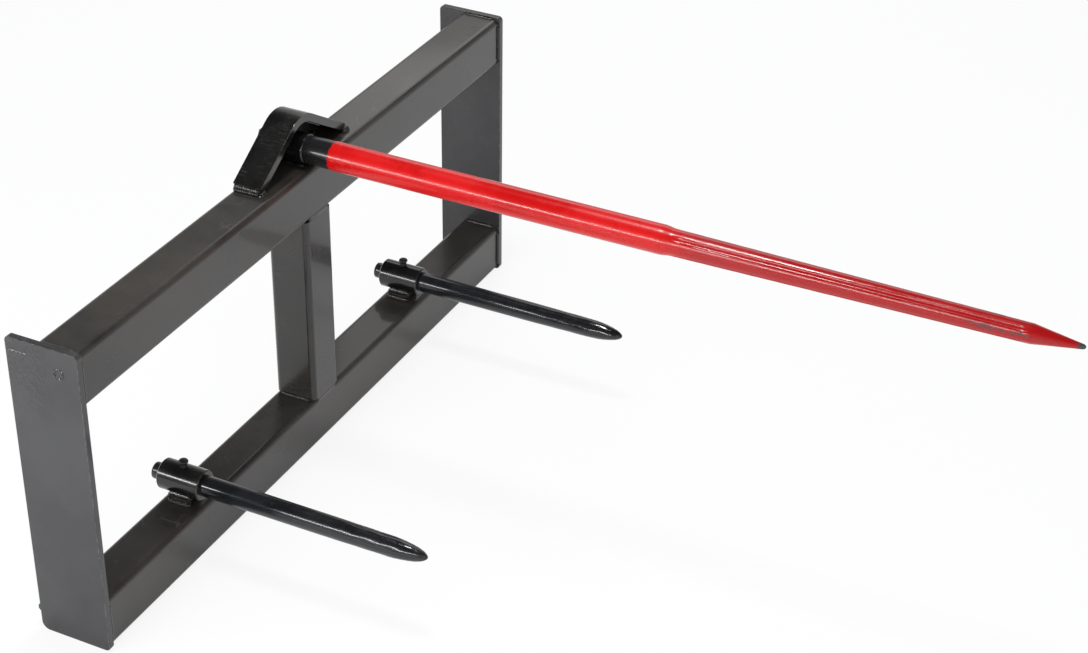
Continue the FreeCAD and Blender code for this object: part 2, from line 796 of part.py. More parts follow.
def saddle_foot_welds():
    """Beads at the saddle's feet: one under the square end of each, one across each front."""
    wedge = 90 - math.degrees(leg_angle())
    front = f"{SADDLE_REAR} - saddle_width"
    beads = []
    for side, sign in SIDES:
        corner = f"{sign} * saddle_half_span"
        faces = ("-x", "+z") if sign < 0 else ("+z", "+x")
        along = bead(f"saddle_foot_weld_{side}", faces, "saddle_thickness", "saddle_width",
                     (corner, front, FRAME_TOP), f"{90 - wedge}")
        if sign > 0:
            turn = FreeCAD.Rotation(NORMALS["+y"], wedge)
            along.Placement.Rotation = turn.multiply(along.Placement.Rotation)
        beads.append(along)
        start = f"{corner} - saddle_bead" if sign > 0 else f"{corner} - saddle_thickness"
        across = bead(f"saddle_front_weld_{side}", ("-y", "+z"), "saddle_bead",
                      "saddle_thickness + saddle_bead",
                      (f"{start} + saddle_thickness + saddle_bead", front, FRAME_TOP))
        beads.append(across)
    return group("saddle_foot_welds", beads)


def web_welds():
    """Beads between the saddle web and the upper tube, on each side of the main sleeve."""
    near_end = "sleeve_radius + web_weld_sleeve_gap"
    beads = []
    for side, sign in SIDES:
        high_end = f"-({near_end})" if sign < 0 else f"{near_end} + web_weld_length"
        beads.append(bead(f"web_weld_{side}", ("-y", "+z"), "saddle_bead", "web_weld_length",
                          (high_end, f"{TUBE_REAR} - web_thickness", FRAME_TOP)))
    return group("saddle_web_welds", beads)


def weld_core(name, radius, x, level):
    """Cutter the size of a sleeve, so that the welds against it end on its surface."""
    core = cylinder(name, radius, "tube_depth + 2 * cutter_reach")
    put(core, x, f"{TUBE_REAR} + cutter_reach", level, lying(NORMALS["-y"]))
    return core


def sleeve_ring_weld(core):
    """Cone-shaped ring where the main sleeve enters the web, open just above the tube's top."""
    cone = doc.addObject("Part::Cone", "sleeve_ring_cone")
    bind(cone, Radius1="sleeve_radius + saddle_bead", Radius2="sleeve_radius + ring_weld_front_rise",
         Height="saddle_bead")
    put(cone, "0", f"{TUBE_REAR} - web_thickness", SPEAR_LEVEL, lying(NORMALS["-y"]))
    floor = box("sleeve_ring_floor", "2 * cutter_reach", "2 * cutter_reach", "cutter_reach")
    put(floor, "-cutter_reach", f"{TUBE_MIDDLE} - cutter_reach",
        f"{FRAME_TOP} + ring_weld_floor_gap - cutter_reach")
    return cut("sleeve_ring_weld", cut("sleeve_ring", cone, core), floor)


def main_sleeve_welds():
    """Fillets along both sides of the main sleeve and a ring where it enters the web."""
    length = f"({SLEEVE_LENGTH} - web_thickness - 2 * saddle_bead)"
    front = f"({SLEEVE_FRONT} + saddle_bead / 2)"
    core = weld_core("sleeve_weld_core", "sleeve_radius", "0", SPEAR_LEVEL)
    pieces = []
    for side, sign in SIDES:
        block = box(f"sleeve_weld_block_{side}", "sleeve_weld_outer - sleeve_weld_inner", length,
                    "sleeve_weld_height")
        put(block, "sleeve_weld_inner" if sign > 0 else "-sleeve_weld_outer", front, FRAME_TOP)
        pieces.append(cut(f"sleeve_side_weld_{side}", block, core))
    pieces.append(sleeve_ring_weld(core))
    return group("main_sleeve_welds", pieces)


def stabiliser_welds(side, sign):
    """Fillets between lower tube and pad, and between pad and stabiliser sleeve."""
    rear_start = f"{TUBE_REAR} - pad_rear_gap - pad_length"
    axis = stabiliser_x(sign)
    core = weld_core(side + "_holder_core", "holder_radius", axis, HOLDER_LEVEL)
    pieces = []
    for edge, way in SIDES:
        outward = "-x" if way < 0 else "+x"
        faces = (outward, "+z") if way < 0 else ("+z", outward)
        wall = f"{axis} + {way} * pad_width / 2"
        pieces.append(bead(f"{side}_pad_weld_{edge}", faces, "pad_bead", "pad_length",
                           (wall, rear_start, LOWER_TUBE_TOP)))
        block = box(f"{side}_holder_weld_block_{edge}", "holder_weld_width", "pad_length",
                    "holder_weld_height")
        start = f"{wall} - holder_weld_width" if way > 0 else wall
        put(block, start, rear_start, f"{LOWER_TUBE_TOP} + pad_height")
        pieces.append(cut(f"{side}_holder_weld_{edge}", block, core))
    return group(side + "_stabiliser_welds", pieces)


def end_plate_welds():
    """Plug welds and slot welds that show on the outer faces of the end plates."""
    pieces = []
    for side, sign in SIDES:
        wall = f"{sign} * frame_width / 2"
        outward = NORMALS["-x" if sign < 0 else "+x"]
        plug = cylinder(side + "_plug_weld", "plug_weld_radius", "plug_weld_height")
        put(plug, wall, f"{TUBE_MIDDLE} - plug_weld_forward",
            f"{UPPER_TUBE_BOTTOM} + tube_height / 2 + plug_weld_rise", lying(outward))
        pieces.append(plug)
        faces = ("-z", "-x") if sign < 0 else ("+z", "+x")
        start = "-(slot_weld_rear_gap + slot_weld_length)"
        slot = bead(side + "_slot_weld", faces, "slot_weld_height / 2", "slot_weld_length",
                    (wall, start, "plate_height - slot_weld_drop"), "180")
        pieces.append(slot)
    return group("end_plate_welds", pieces)


def lug_weld():
    """Bead above the rear lug, on the end plate's inner face."""
    weld = bead("rear_lug_weld", ("+z", "+x"), "frame_bead", "lug_overlap",
                (LEFT_WALL, "-lug_overlap", "lug_level + lug_height / 2"))
    weld.Label = "rear_lug_weld"
    return weld


# ---------------------------------------------------------------- assembly and output

def build_all():
    """Make every sub-part and return them in order."""
    parts = [end_plate(side, sign) for side, sign in SIDES]
    parts.append(cross_tube("upper_tube", UPPER_TUBE_BOTTOM))
    parts.append(cross_tube("lower_tube", "tube_floor_gap"))
    parts.append(centre_post())
    parts.append(rear_lug())
    parts += [saddle_strap(), saddle_web(), main_sleeve(), main_spear()]
    parts += [main_washer(), main_nut()]
    for side, sign in SIDES:
        parts.append(stabiliser_pad(side, sign))
        parts.append(stabiliser_sleeve(side, sign))
        parts.append(stabiliser_spear(side, sign))
        parts.append(stabiliser_pin(side, sign))
        parts.append(stabiliser_welds(side, sign))
    parts += [tube_end_welds(), centre_post_welds(), saddle_foot_welds(), web_welds()]
    parts += [main_sleeve_welds(), end_plate_welds(), lug_weld()]
    return parts


def check(parts):
    """Stop if any object failed or any sub-part has no valid solid."""
    for item in doc.Objects:
        if "Invalid" in item.State or "Error" in item.State:
            raise RuntimeError(f"{item.Name} failed: {item.State}")
    for part in parts:
        shape = part.Shape
        if shape.isNull() or not shape.isValid() or not shape.Solids:
            raise RuntimeError(f"{part.Label} has no valid solid")


def write(parts):
    """Write each sub-part to its own STEP file."""
    os.makedirs("parts", exist_ok=True)
    for part in parts:
        part.Shape.exportStep(f"parts/{part.Label}.step")
        print(part.Label, len(part.Shape.Solids), round(part.Shape.Volume))


fill_sheet()
sub_parts = build_all()
doc.recompute()
check(sub_parts)
write(sub_parts)
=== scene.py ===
"""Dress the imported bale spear: painted steel, rippled welds, forged spears and a plain studio."""

import logging
import math
import random
from dataclasses import dataclass, field
from enum import Enum
from typing import Callable, Iterable

import bmesh
import bpy
from mathutils import Matrix, Vector


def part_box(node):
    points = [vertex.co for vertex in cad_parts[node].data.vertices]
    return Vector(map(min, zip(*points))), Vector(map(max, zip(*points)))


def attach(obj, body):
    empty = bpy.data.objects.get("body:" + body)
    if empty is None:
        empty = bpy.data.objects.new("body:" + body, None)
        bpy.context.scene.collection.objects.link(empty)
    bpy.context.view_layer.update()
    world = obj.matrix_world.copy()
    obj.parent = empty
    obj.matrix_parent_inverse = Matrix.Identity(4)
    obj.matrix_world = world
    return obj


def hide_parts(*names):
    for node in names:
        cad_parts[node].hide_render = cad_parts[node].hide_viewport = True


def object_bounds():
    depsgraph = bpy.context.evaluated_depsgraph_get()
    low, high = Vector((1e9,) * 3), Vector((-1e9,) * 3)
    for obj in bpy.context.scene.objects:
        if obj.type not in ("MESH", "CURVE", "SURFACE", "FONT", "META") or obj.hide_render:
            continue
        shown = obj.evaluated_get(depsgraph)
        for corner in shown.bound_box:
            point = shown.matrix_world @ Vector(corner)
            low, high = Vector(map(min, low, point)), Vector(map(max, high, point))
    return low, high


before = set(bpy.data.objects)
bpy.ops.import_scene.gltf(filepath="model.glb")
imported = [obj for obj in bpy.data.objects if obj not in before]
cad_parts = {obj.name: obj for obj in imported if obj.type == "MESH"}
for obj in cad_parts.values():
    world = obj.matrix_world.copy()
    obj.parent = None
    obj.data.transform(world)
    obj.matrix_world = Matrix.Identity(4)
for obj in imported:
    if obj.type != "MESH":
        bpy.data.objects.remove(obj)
CAD_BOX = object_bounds()
LOG = logging.getLogger("bale_spear")
MM = 0.001
Colour = tuple[float, float, float]


class Slot(Enum):
    """Material slots of the part's record."""

    FRAME = "frame_paint"
    PLATE = "plate_paint"
    BRACKET = "bracket_paint"
    WELD = "weld_paint"
    RED = "red_paint"
    STABILISER = "stabiliser_paint"
    FASTENER = "black_steel"


# ------------------------------------------------------------------ shader graphs

class Graph:
    """Adds and links shader nodes in one tree."""

    def __init__(self, tree: bpy.types.NodeTree) -> None:
        """Remember the tree.

        Args:
            tree: The node tree that every node goes into.
        """
        self.tree = tree

    def node(self, kind: str, inputs: dict | None = None, **settings: object) -> bpy.types.Node:
        """Add one node.

        Args:
            kind: Blender's name for the node type.
            inputs: Socket names or numbers with a constant or a socket to link.
            **settings: Properties of the node itself.

        Returns:
            The new node.
        """
        made = self.tree.nodes.new(kind)
        for name, value in settings.items():
            setattr(made, name, value)
        for name, value in (inputs or {}).items():
            self.feed(made.inputs[name], value)
        return made

    def feed(self, socket: bpy.types.NodeSocket, value: object) -> None:
        """Link an input to another socket or set its constant.

        Args:
            socket: The input.
            value: Constant, colour or output socket.
        """
        if isinstance(value, bpy.types.NodeSocket):
            self.tree.links.new(value, socket)
        else:
            socket.default_value = (*value, 1.0) if socket.type == "RGBA" else value

    def maths(self, operation: str, first: object, second: object = 0.0,
              clamp: bool = False) -> bpy.types.NodeSocket:
        """Add a Math node.

        Args:
            operation: Name of the operation.
            first: Constant or socket.
            second: Constant or socket.
            clamp: Whether the result is kept between 0 and 1.

        Returns:
            The value socket.
        """
        made = self.node("ShaderNodeMath", {0: first, 1: second}, operation=operation)
        made.use_clamp = clamp
        return made.outputs[0]

    def mix(self, factor: object, first: object, second: object) -> bpy.types.NodeSocket:
        """Mix two colours.

        Args:
            factor: Constant or socket, 0 for the first colour.
            first: Colour or socket.
            second: Colour or socket.

        Returns:
            The colour socket.
        """
        return self.node("ShaderNodeMix", {0: factor, 6: first, 7: second}, data_type="RGBA").outputs[2]

    def band(self, value: bpy.types.NodeSocket, start: float, end: float, low: object = 0.0,
             high: object = 1.0) -> bpy.types.NodeSocket:
        """Smooth step from low to high while the value goes from start to end.

        Args:
            value: Socket that is read.
            start: Value where the step begins.
            end: Value where the step is complete.
            low: Result before the step.
            high: Result after the step.

        Returns:
            The value socket.
        """
        made = self.node("ShaderNodeMapRange", {"Value": value, "From Min": start, "From Max": end,
                                                "To Min": low, "To Max": high})
        made.interpolation_type = "SMOOTHSTEP"
        return made.outputs["Result"]

    def noise(self, place: bpy.types.NodeSocket, scale: object, detail: float = 3.0,
              roughness: float = 0.5) -> bpy.types.NodeSocket:
        """Add a Noise Texture and return its value.

        Args:
            place: Coordinates.
            scale: Frequency per metre.
            detail: Number of octaves.
            roughness: Strength of the finer octaves.

        Returns:
            The value socket.
        """
        made = self.node("ShaderNodeTexNoise", {"Vector": place, "Scale": scale, "Detail": detail,
                                                "Roughness": roughness})
        return made.outputs[0]

    def place(self) -> bpy.types.NodeSocket:
        """Coordinates in metres in the part's own frame."""
        return self.node("ShaderNodeTexCoord").outputs["Object"]

    def axes(self, place: bpy.types.NodeSocket) -> bpy.types.bpy_prop_collection:
        """Split coordinates into X, Y and Z."""
        return self.node("ShaderNodeSeparateXYZ", {0: place}).outputs


@dataclass(frozen=True)
class Effect:
    """A node group that several finishes share, built once."""

    name: str
    inputs: tuple[tuple[str, str, object], ...]
    outputs: tuple[tuple[str, str], ...]
    wire: Callable[[Graph, bpy.types.Node, bpy.types.Node], None]

    def group(self) -> bpy.types.NodeTree:
        """Return the group, made at its first use."""
        if self.name in bpy.data.node_groups:
            return bpy.data.node_groups[self.name]
        tree = bpy.data.node_groups.new(self.name, "ShaderNodeTree")
        for label, kind, value in self.inputs:
            socket = tree.interface.new_socket(label, in_out="INPUT", socket_type=kind)
            socket.default_value = (*value, 1.0) if kind == "NodeSocketColor" else value
        for label, kind in self.outputs:
            tree.interface.new_socket(label, in_out="OUTPUT", socket_type=kind)
        graph = Graph(tree)
        self.wire(graph, graph.node("NodeGroupInput"), graph.node("NodeGroupOutput"))
        return tree

    def use(self, graph: Graph, **values: object) -> bpy.types.bpy_prop_collection:
        """Place the group in a material.

        Args:
            graph: The material's graph.
            **values: Input names, with underscores for spaces, and their values.

        Returns:
            The group's outputs.
        """
        labels = {name.replace("_", " "): value for name, value in values.items()}
        return graph.node("ShaderNodeGroup", labels, node_tree=self.group()).outputs


VALUE = "NodeSocketFloat"
COLOUR = "NodeSocketColor"


def wire_clouds(graph: Graph, given: bpy.types.Node, result: bpy.types.Node) -> None:
    """Soft patches of a second tint, as in paint over uneven mill scale.

    Args:
        graph: The group's graph.
        given: Its input node.
        result: Its output node.
    """
    place = graph.place()
    broad = graph.noise(place, given.outputs["Scale"], 2.0)
    fine = graph.noise(place, graph.maths("MULTIPLY", given.outputs["Scale"], 7.0), 5.0, 0.6)
    both = graph.maths("ADD", graph.maths("MULTIPLY", broad, 0.75), graph.maths("MULTIPLY", fine, 0.25))
    mask = graph.band(both, 0.38, 0.62)
    graph.feed(result.inputs["Colour"], graph.mix(mask, given.outputs["Deep"], given.outputs["Pale"]))
    graph.feed(result.inputs["Mask"], mask)


def wire_peel(graph: Graph, given: bpy.types.Node, result: bpy.types.Node) -> None:
    """Orange peel of sprayed paint with a few dust nibs.

    Args:
        graph: The group's graph.
        given: Its input node.
        result: Its output node.
    """
    place = graph.place()
    peel = graph.noise(place, given.outputs["Scale"], 2.0, 0.4)
    waves = graph.noise(place, graph.maths("MULTIPLY", given.outputs["Scale"], 0.08), 3.0, 0.5)
    cells = graph.node("ShaderNodeTexVoronoi",
                       {"Vector": place, "Scale": graph.maths("MULTIPLY", given.outputs["Scale"], 0.2)})
    nib = graph.band(cells.outputs["Distance"], 0.16, 0.04)
    rare = graph.band(graph.noise(place, 60.0, 0.0), 0.6, 0.7)
    total = graph.maths("ADD", graph.maths("MULTIPLY", peel, 0.35), waves)
    total = graph.maths("ADD", total, graph.maths("MULTIPLY", graph.maths("MULTIPLY", nib, rare), 0.25))
    graph.feed(result.inputs["Height"], total)


def wire_edges(graph: Graph, given: bpy.types.Node, result: bpy.types.Node) -> None:
    """Broken wear where the surface turns sharply.

    Args:
        graph: The group's graph.
        given: Its input node.
        result: Its output node.
    """
    rounded = graph.node("ShaderNodeBevel", {"Radius": given.outputs["Radius"]}, samples=4)
    true_normal = graph.node("ShaderNodeNewGeometry").outputs["True Normal"]
    facing = graph.node("ShaderNodeVectorMath", {0: rounded.outputs[0], 1: true_normal},
                        operation="DOT_PRODUCT").outputs["Value"]
    turn = graph.band(facing, 0.985, 0.9)
    broken = graph.band(graph.noise(graph.place(), given.outputs["Scale"], 6.0, 0.7), 0.44, 0.6)
    worn = graph.maths("MULTIPLY", turn, graph.maths("MULTIPLY", broken, given.outputs["Amount"]), True)
    graph.feed(result.inputs["Mask"], worn)


def wire_dust(graph: Graph, given: bpy.types.Node, result: bpy.types.Node) -> None:
    """Thin dust and handling marks on what faces up.

    Args:
        graph: The group's graph.
        given: Its input node.
        result: Its output node.
    """
    place = graph.place()
    upward = graph.axes(graph.node("ShaderNodeNewGeometry").outputs["Normal"])[2]
    settled = graph.band(upward, 0.35, 0.95)
    uneven = graph.band(graph.noise(place, 14.0, 5.0, 0.65), 0.36, 0.7)
    grain = graph.band(graph.noise(place, 900.0, 2.0), 0.35, 0.75)
    mask = graph.maths("MULTIPLY", graph.maths("MULTIPLY", settled, uneven),
                       graph.maths("ADD", graph.maths("MULTIPLY", grain, 0.6), 0.4))
    graph.feed(result.inputs["Mask"], graph.maths("MULTIPLY", mask, given.outputs["Amount"], True))


def wire_scratches(graph: Graph, given: bpy.types.Node, result: bpy.types.Node) -> None:
    """Fine scratches that run along one stretched direction.

    Args:
        graph: The group's graph.
        given: Its input node.
        result: Its output node.
    """
    stretched = graph.node("ShaderNodeVectorMath",
                           {0: graph.place(), 1: given.outputs["Stretch"]}, operation="MULTIPLY")
    lines = graph.noise(stretched.outputs[0], 1.0, 1.0)
    thin = graph.band(graph.maths("ABSOLUTE", graph.maths("SUBTRACT", lines, 0.5)), 0.012, 0.003)
    sparse = graph.band(graph.noise(graph.place(), 18.0, 3.0), 0.5, 0.62)
    mask = graph.maths("MULTIPLY", graph.maths("MULTIPLY", thin, sparse), given.outputs["Amount"], True)
    graph.feed(result.inputs["Mask"], mask)


CLOUDS = Effect("paint_clouds", (("Deep", COLOUR, (0, 0, 0)), ("Pale", COLOUR, (1, 1, 1)),
                                 ("Scale", VALUE, 6.0)), (("Colour", COLOUR), ("Mask", VALUE)), wire_clouds)
PEEL = Effect("orange_peel", (("Scale", VALUE, 500.0),), (("Height", VALUE),), wire_peel)
EDGES = Effect("edge_wear", (("Radius", VALUE, 0.0015), ("Scale", VALUE, 120.0), ("Amount", VALUE, 1.0)),
               (("Mask", VALUE),), wire_edges)
DUST = Effect("settled_dust", (("Amount", VALUE, 0.2),), (("Mask", VALUE),), wire_dust)
SCRATCHES = Effect("fine_scratches", (("Stretch", "NodeSocketVector", (20, 20, 900)),
                                      ("Amount", VALUE, 0.5)), (("Mask", VALUE),), wire_scratches)


# ------------------------------------------------------------------ finishes

@dataclass(frozen=True)
class Finish:
    """What every finish shares: one Principled shader with a fine bump."""

    name: str

    def start(self) -> tuple[bpy.types.Material, Graph]:
        """Make an empty material.

        Returns:
            The material and its graph.
        """
        material = bpy.data.materials.new(self.name)
        material.use_nodes = True
        return material, Graph(material.node_tree)

    @staticmethod
    def wire(graph: Graph, height: object, distance: float, looks: dict) -> None:
        """Feed the shader.

        Args:
            graph: The material's graph.
            height: Height of the bump.
            distance: Depth of the bump in metres.
            looks: Shader inputs and their values.
        """
        bump = graph.node("ShaderNodeBump", {"Height": height, "Distance": distance, "Strength": 1.0})
        shader = graph.tree.nodes["Principled BSDF"]
        for label, value in {**looks, "Normal": bump.outputs[0]}.items():
            graph.feed(shader.inputs[label], value)


@dataclass(frozen=True)
class Paint(Finish):
    """Sprayed gloss paint over rolled or welded steel."""

    deep: Colour
    pale: Colour
    rough: tuple[float, float]
    cloud_scale: float = 6.0
    peel_scale: float = 420.0
    peel: float = 0.00006
    specular: float = 0.45
    coat: float = 0.35
    edge_colour: Colour = (0.13, 0.12, 0.11)
    edge_amount: float = 0.5
    dust: float = 0.12
    scale_patch: bool = False

    def build(self) -> bpy.types.Material:
        """Make the material.

        Returns:
            The finished material.
        """
        material, graph = self.start()
        clouds = CLOUDS.use(graph, Deep=self.deep, Pale=self.pale, Scale=self.cloud_scale)
        edges = EDGES.use(graph, Radius=0.0016, Scale=140.0, Amount=self.edge_amount)["Mask"]
        dust = DUST.use(graph, Amount=self.dust)["Mask"]
        scratches = SCRATCHES.use(graph, Amount=0.35)["Mask"]
        colour = graph.mix(scratches, clouds["Colour"], (0.10, 0.095, 0.09))
        colour = graph.mix(dust, colour, (0.16, 0.145, 0.125))
        colour = graph.mix(edges, colour, self.edge_colour)
        rough = graph.band(clouds["Mask"], 0.0, 1.0, *self.rough)
        rough = graph.maths("ADD", rough, graph.maths("MULTIPLY", dust, 0.5), True)
        height = PEEL.use(graph, Scale=self.peel_scale)["Height"]
        if self.scale_patch:
            height = graph.maths("ADD", height, self.patch(graph))
        self.wire(graph, height, self.peel, {
            "Base Color": colour, "Roughness": rough, "Specular IOR Level": self.specular,
            "Coat Weight": self.coat, "Coat Roughness": 0.08})
        return material

    def patch(self, graph: Graph) -> bpy.types.NodeSocket:
        """Scaly steel that shows through the paint at the upper rear of the end plates.

        Args:
            graph: The material's graph.

        Returns:
            Height of the scale.
        """
        place = graph.place()
        axes = graph.axes(place)
        high = graph.band(axes[2], 0.33, 0.43)
        rear = graph.band(axes[1], -0.075, -0.03)
        flakes = graph.band(graph.noise(place, 150.0, 4.0, 0.6), 0.4, 0.62)
        return graph.maths("MULTIPLY", graph.maths("MULTIPLY", high, rear),
                           graph.maths("MULTIPLY", flakes, 7.0))


@dataclass(frozen=True)
class ForgedSpearPaint(Finish):
    """Red paint over a forging whose root is black and whose point is bare."""

    paint_start: float
    point_base: float
    tip: float
    taper_start: float
    red: Colour = (0.62, 0.0012, 0.0016)
    deep_red: Colour = (0.50, 0.0010, 0.0014)
    worn_red: Colour = (0.33, 0.0020, 0.0035)
    black: Colour = (0.010, 0.010, 0.011)
    steel: Colour = (0.055, 0.045, 0.045)

    def build(self) -> bpy.types.Material:
        """Make the material.

        Returns:
            The finished material.
        """
        material, graph = self.start()
        place = graph.place()
        along = graph.axes(place)[1]
        ragged = graph.maths("MULTIPLY", graph.maths("SUBTRACT", graph.noise(place, 220.0, 3.0), 0.5), 0.006)
        level = graph.maths("ADD", along, ragged)
        root = graph.band(level, self.paint_start - 0.0008, self.paint_start + 0.0008)
        bare = self.bare_steel(graph, place, level)
        clouds = CLOUDS.use(graph, Deep=self.deep_red, Pale=self.red, Scale=9.0)
        scratches = SCRATCHES.use(graph, Stretch=(700.0, 14.0, 700.0), Amount=0.3)["Mask"]
        worn = graph.band(level, self.taper_start + 0.03, self.taper_start - 0.05, 0.0, 0.85)
        colour = graph.mix(worn, clouds["Colour"], self.worn_red)
        colour = graph.mix(scratches, colour, (0.36, 0.012, 0.012))
        colour = graph.mix(bare, colour, self.steel)
        colour = graph.mix(root, colour, self.black)
        rough = graph.band(clouds["Mask"], 0.0, 1.0, 0.2, 0.3)
        rough = graph.maths("ADD", rough, graph.maths("MULTIPLY", bare, 0.22), True)
        peel = PEEL.use(graph, Scale=380.0)["Height"]
        hammered = graph.maths("MULTIPLY", graph.noise(place, 85.0, 2.0), 2.0)
        height = graph.maths("ADD", peel, graph.maths("MULTIPLY", hammered, graph.maths("ADD", bare, 0.4)))
        self.wire(graph, height, 0.00006, {
            "Base Color": colour, "Roughness": rough, "Specular IOR Level": 0.4,
            "Coat Weight": 0.25, "Coat Roughness": 0.1})
        return material

    def bare_steel(self, graph: Graph, place: bpy.types.NodeSocket,
                   level: bpy.types.NodeSocket) -> bpy.types.NodeSocket:
        """Mask of the bare point and of the scuffs behind it.

        Args:
            graph: The material's graph.
            place: Coordinates.
            level: Place along the spear with a ragged edge.

        Returns:
            1 where the steel is bare.
        """
        tip = graph.band(level, self.tip + 0.012, self.tip + 0.008)
        stretched = graph.node("ShaderNodeVectorMath", {0: place, 1: (90.0, 16.0, 90.0)},
                               operation="MULTIPLY").outputs[0]
        rubbed = graph.band(graph.noise(stretched, 1.0, 5.0, 0.7), 0.56, 0.62)
        near = graph.band(level, self.point_base + 0.13, self.point_base + 0.02)
        scuffs = graph.maths("MULTIPLY", rubbed, near)
        return graph.maths("MAXIMUM", tip, scuffs, True)


@dataclass(frozen=True)
class OxidisedSteel(Finish):
    """Black oxide on turned steel fasteners."""

    colour: Colour = (0.035, 0.034, 0.036)

    def build(self) -> bpy.types.Material:
        """Make the material.

        Returns:
            The finished material.
        """
        material, graph = self.start()
        clouds = CLOUDS.use(graph, Deep=self.colour, Pale=(0.07, 0.066, 0.06), Scale=60.0)
        edges = EDGES.use(graph, Radius=0.0008, Scale=300.0, Amount=0.9)["Mask"]
        colour = graph.mix(edges, clouds["Colour"], (0.32, 0.31, 0.30))
        height = PEEL.use(graph, Scale=1400.0)["Height"]
        rough = graph.band(clouds["Mask"], 0.0, 1.0, 0.34, 0.5)
        self.wire(graph, height, 0.00003, {"Base Color": colour, "Roughness": rough, "Metallic": 0.75})
        return material


# ------------------------------------------------------------------ pieces

def finish_piece(mesh: bmesh.types.BMesh, name: str, material: bpy.types.Material, slot: Slot,
                 nodes: Iterable[str], sharp: float = 38.0) -> bpy.types.Object:
    """Turn a mesh into a named piece that stands for CAD nodes.

    Args:
        mesh: Geometry in the part's frame, freed here.
        name: Name of the piece.
        material: Its finish.
        slot: Material slot of the record; not used.
        nodes: CAD nodes that it replaces.
        sharp: Angle in degrees above which an edge stays sharp.

    Returns:
        The new object.
    """
    bmesh.ops.recalc_face_normals(mesh, faces=mesh.faces[:])
    for face in mesh.faces:
        face.smooth = True
    for edge in mesh.edges:
        edge.smooth = len(edge.link_faces) == 2 and edge.calc_face_angle() < math.radians(sharp)
    data = bpy.data.meshes.new(name)
    mesh.to_mesh(data)
    mesh.free()
    data.materials.append(material)
    piece = bpy.data.objects.new(name, data)
    bpy.context.scene.collection.objects.link(piece)
    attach(piece, "root")
    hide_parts(*nodes)
    LOG.info("%s: %d faces for %s", name, len(data.polygons), ", ".join(nodes))
    return piece


@dataclass
class EasedPart:
    """A CAD node redrawn with the small eased edges that sawn and rolled steel has."""

    node: str
    slot: Slot
    material: bpy.types.Material
    easing: float = 0.8

    def build(self) -> bpy.types.Object:
        """Ease the sharp edges of the node's mesh.

        Returns:
            The new piece.
        """
        mesh = bmesh.new()
        mesh.from_mesh(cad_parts[self.node].data)
        bmesh.ops.remove_doubles(mesh, verts=mesh.verts[:], dist=1e-5)
        bmesh.ops.dissolve_limit(mesh, angle_limit=math.radians(0.5), verts=mesh.verts[:],
                                 edges=mesh.edges[:])
        sharp = [edge for edge in mesh.edges
                 if len(edge.link_faces) == 2 and edge.calc_face_angle() > math.radians(34)]
        bmesh.ops.bevel(mesh, geom=sharp, offset=self.easing * MM, segments=2, profile=0.5,
                        affect="EDGES", clamp_overlap=True)
        piece = finish_piece(mesh, self.node + "_eased", self.material, self.slot, [self.node])
        normals = piece.modifiers.new("even_normals", "WEIGHTED_NORMAL")
        normals.keep_sharp = True
        return piece


def skin(mesh: bmesh.types.BMesh, rings: list[list], closed: bool = False) -> None:
    """Close the surface between neighbouring rings, and the ends of an open run.

    Args:
        mesh: Mesh that the faces go into.
        rings: Vertices of each ring.
        closed: Whether the last ring meets the first.
    """
    following = rings[1:] + rings[:1] if closed else rings[1:]
    for near, far in zip(rings, following):
        for index in range(len(near)):
            other = (index + 1) % len(near)
            mesh.faces.new((near[index], near[other], far[other], far[index]))
    if not closed:
        mesh.faces.new(rings[0])
        mesh.faces.new(reversed(rings[-1]))


@dataclass
class Station:
    """One place along a weld: its two toes and the corner that they close."""

    first: Vector
    second: Vector
    corner: Vector


@dataclass
class WeldBead:
    """One run of weld with crescent ripples."""

    stations: Callable[[float], Station]
    length: float
    pitch: float = 1.9
    bulge: float = 0.24
    ripple: float = 0.16
    closed: bool = False
    seed: int = 1
    slices: int = 9
    steps: int = 6
    rounding: float = 5.0
    bow: float = 1.1
    lead: int = 4

    def add_to(self, mesh: bmesh.types.BMesh) -> None:
        """Add the bead's surface to a mesh.

        Args:
            mesh: Mesh that collects every bead of the piece.
        """
        count = max(10, int(self.length / (self.pitch * MM) * self.steps))
        chance = random.Random(self.seed)
        sizes = [chance.uniform(0.86, 1.1) for _ in range(int(self.length / (self.pitch * MM)) + 8)]
        rings = [self.ring(mesh, index / count, sizes) for index in range(count + (not self.closed))]
        skin(mesh, rings, self.closed)

    def ring(self, mesh: bmesh.types.BMesh, share: float, sizes: list[float]) -> list:
        """One cross-section of the bead.

        Args:
            mesh: Mesh that the vertices go into.
            share: Place along the bead, 0 to 1.
            sizes: Random size of each ripple.

        Returns:
            The section's vertices, from toe to toe and back by the corner.
        """
        station = self.stations(share)
        here = share * self.length / MM
        ends = 1.0
        if not self.closed:
            toe = min(self.rounding, (station.first - station.corner).length / MM)
            away = min(here, self.length / MM - here)
            ends = math.sqrt(max(0.04, 1 - (1 - min(1.0, away / toe)) ** 2))
        outward = ((station.first + station.second) / 2 - station.corner).normalized()
        span = (station.first - station.second).length
        vertices = []
        for slice_number in range(self.slices):
            across = slice_number / (self.slices - 1)
            phase = here / self.pitch - self.bow * (across - 0.5) ** 2 * 4 + self.lead
            size = sizes[int(phase) % len(sizes)]
            crest = (1 - (phase % 1.0)) ** 1.5
            arch = 4 * across * (1 - across)
            rise = span * (self.bulge * size + self.ripple * (crest - 0.4) * 0.5) * arch
            flat = station.first.lerp(station.second, across)
            point = station.corner + (flat + outward * rise - station.corner) * ends
            vertices.append(mesh.verts.new(point))
        vertices.append(mesh.verts.new(station.corner))
        return vertices


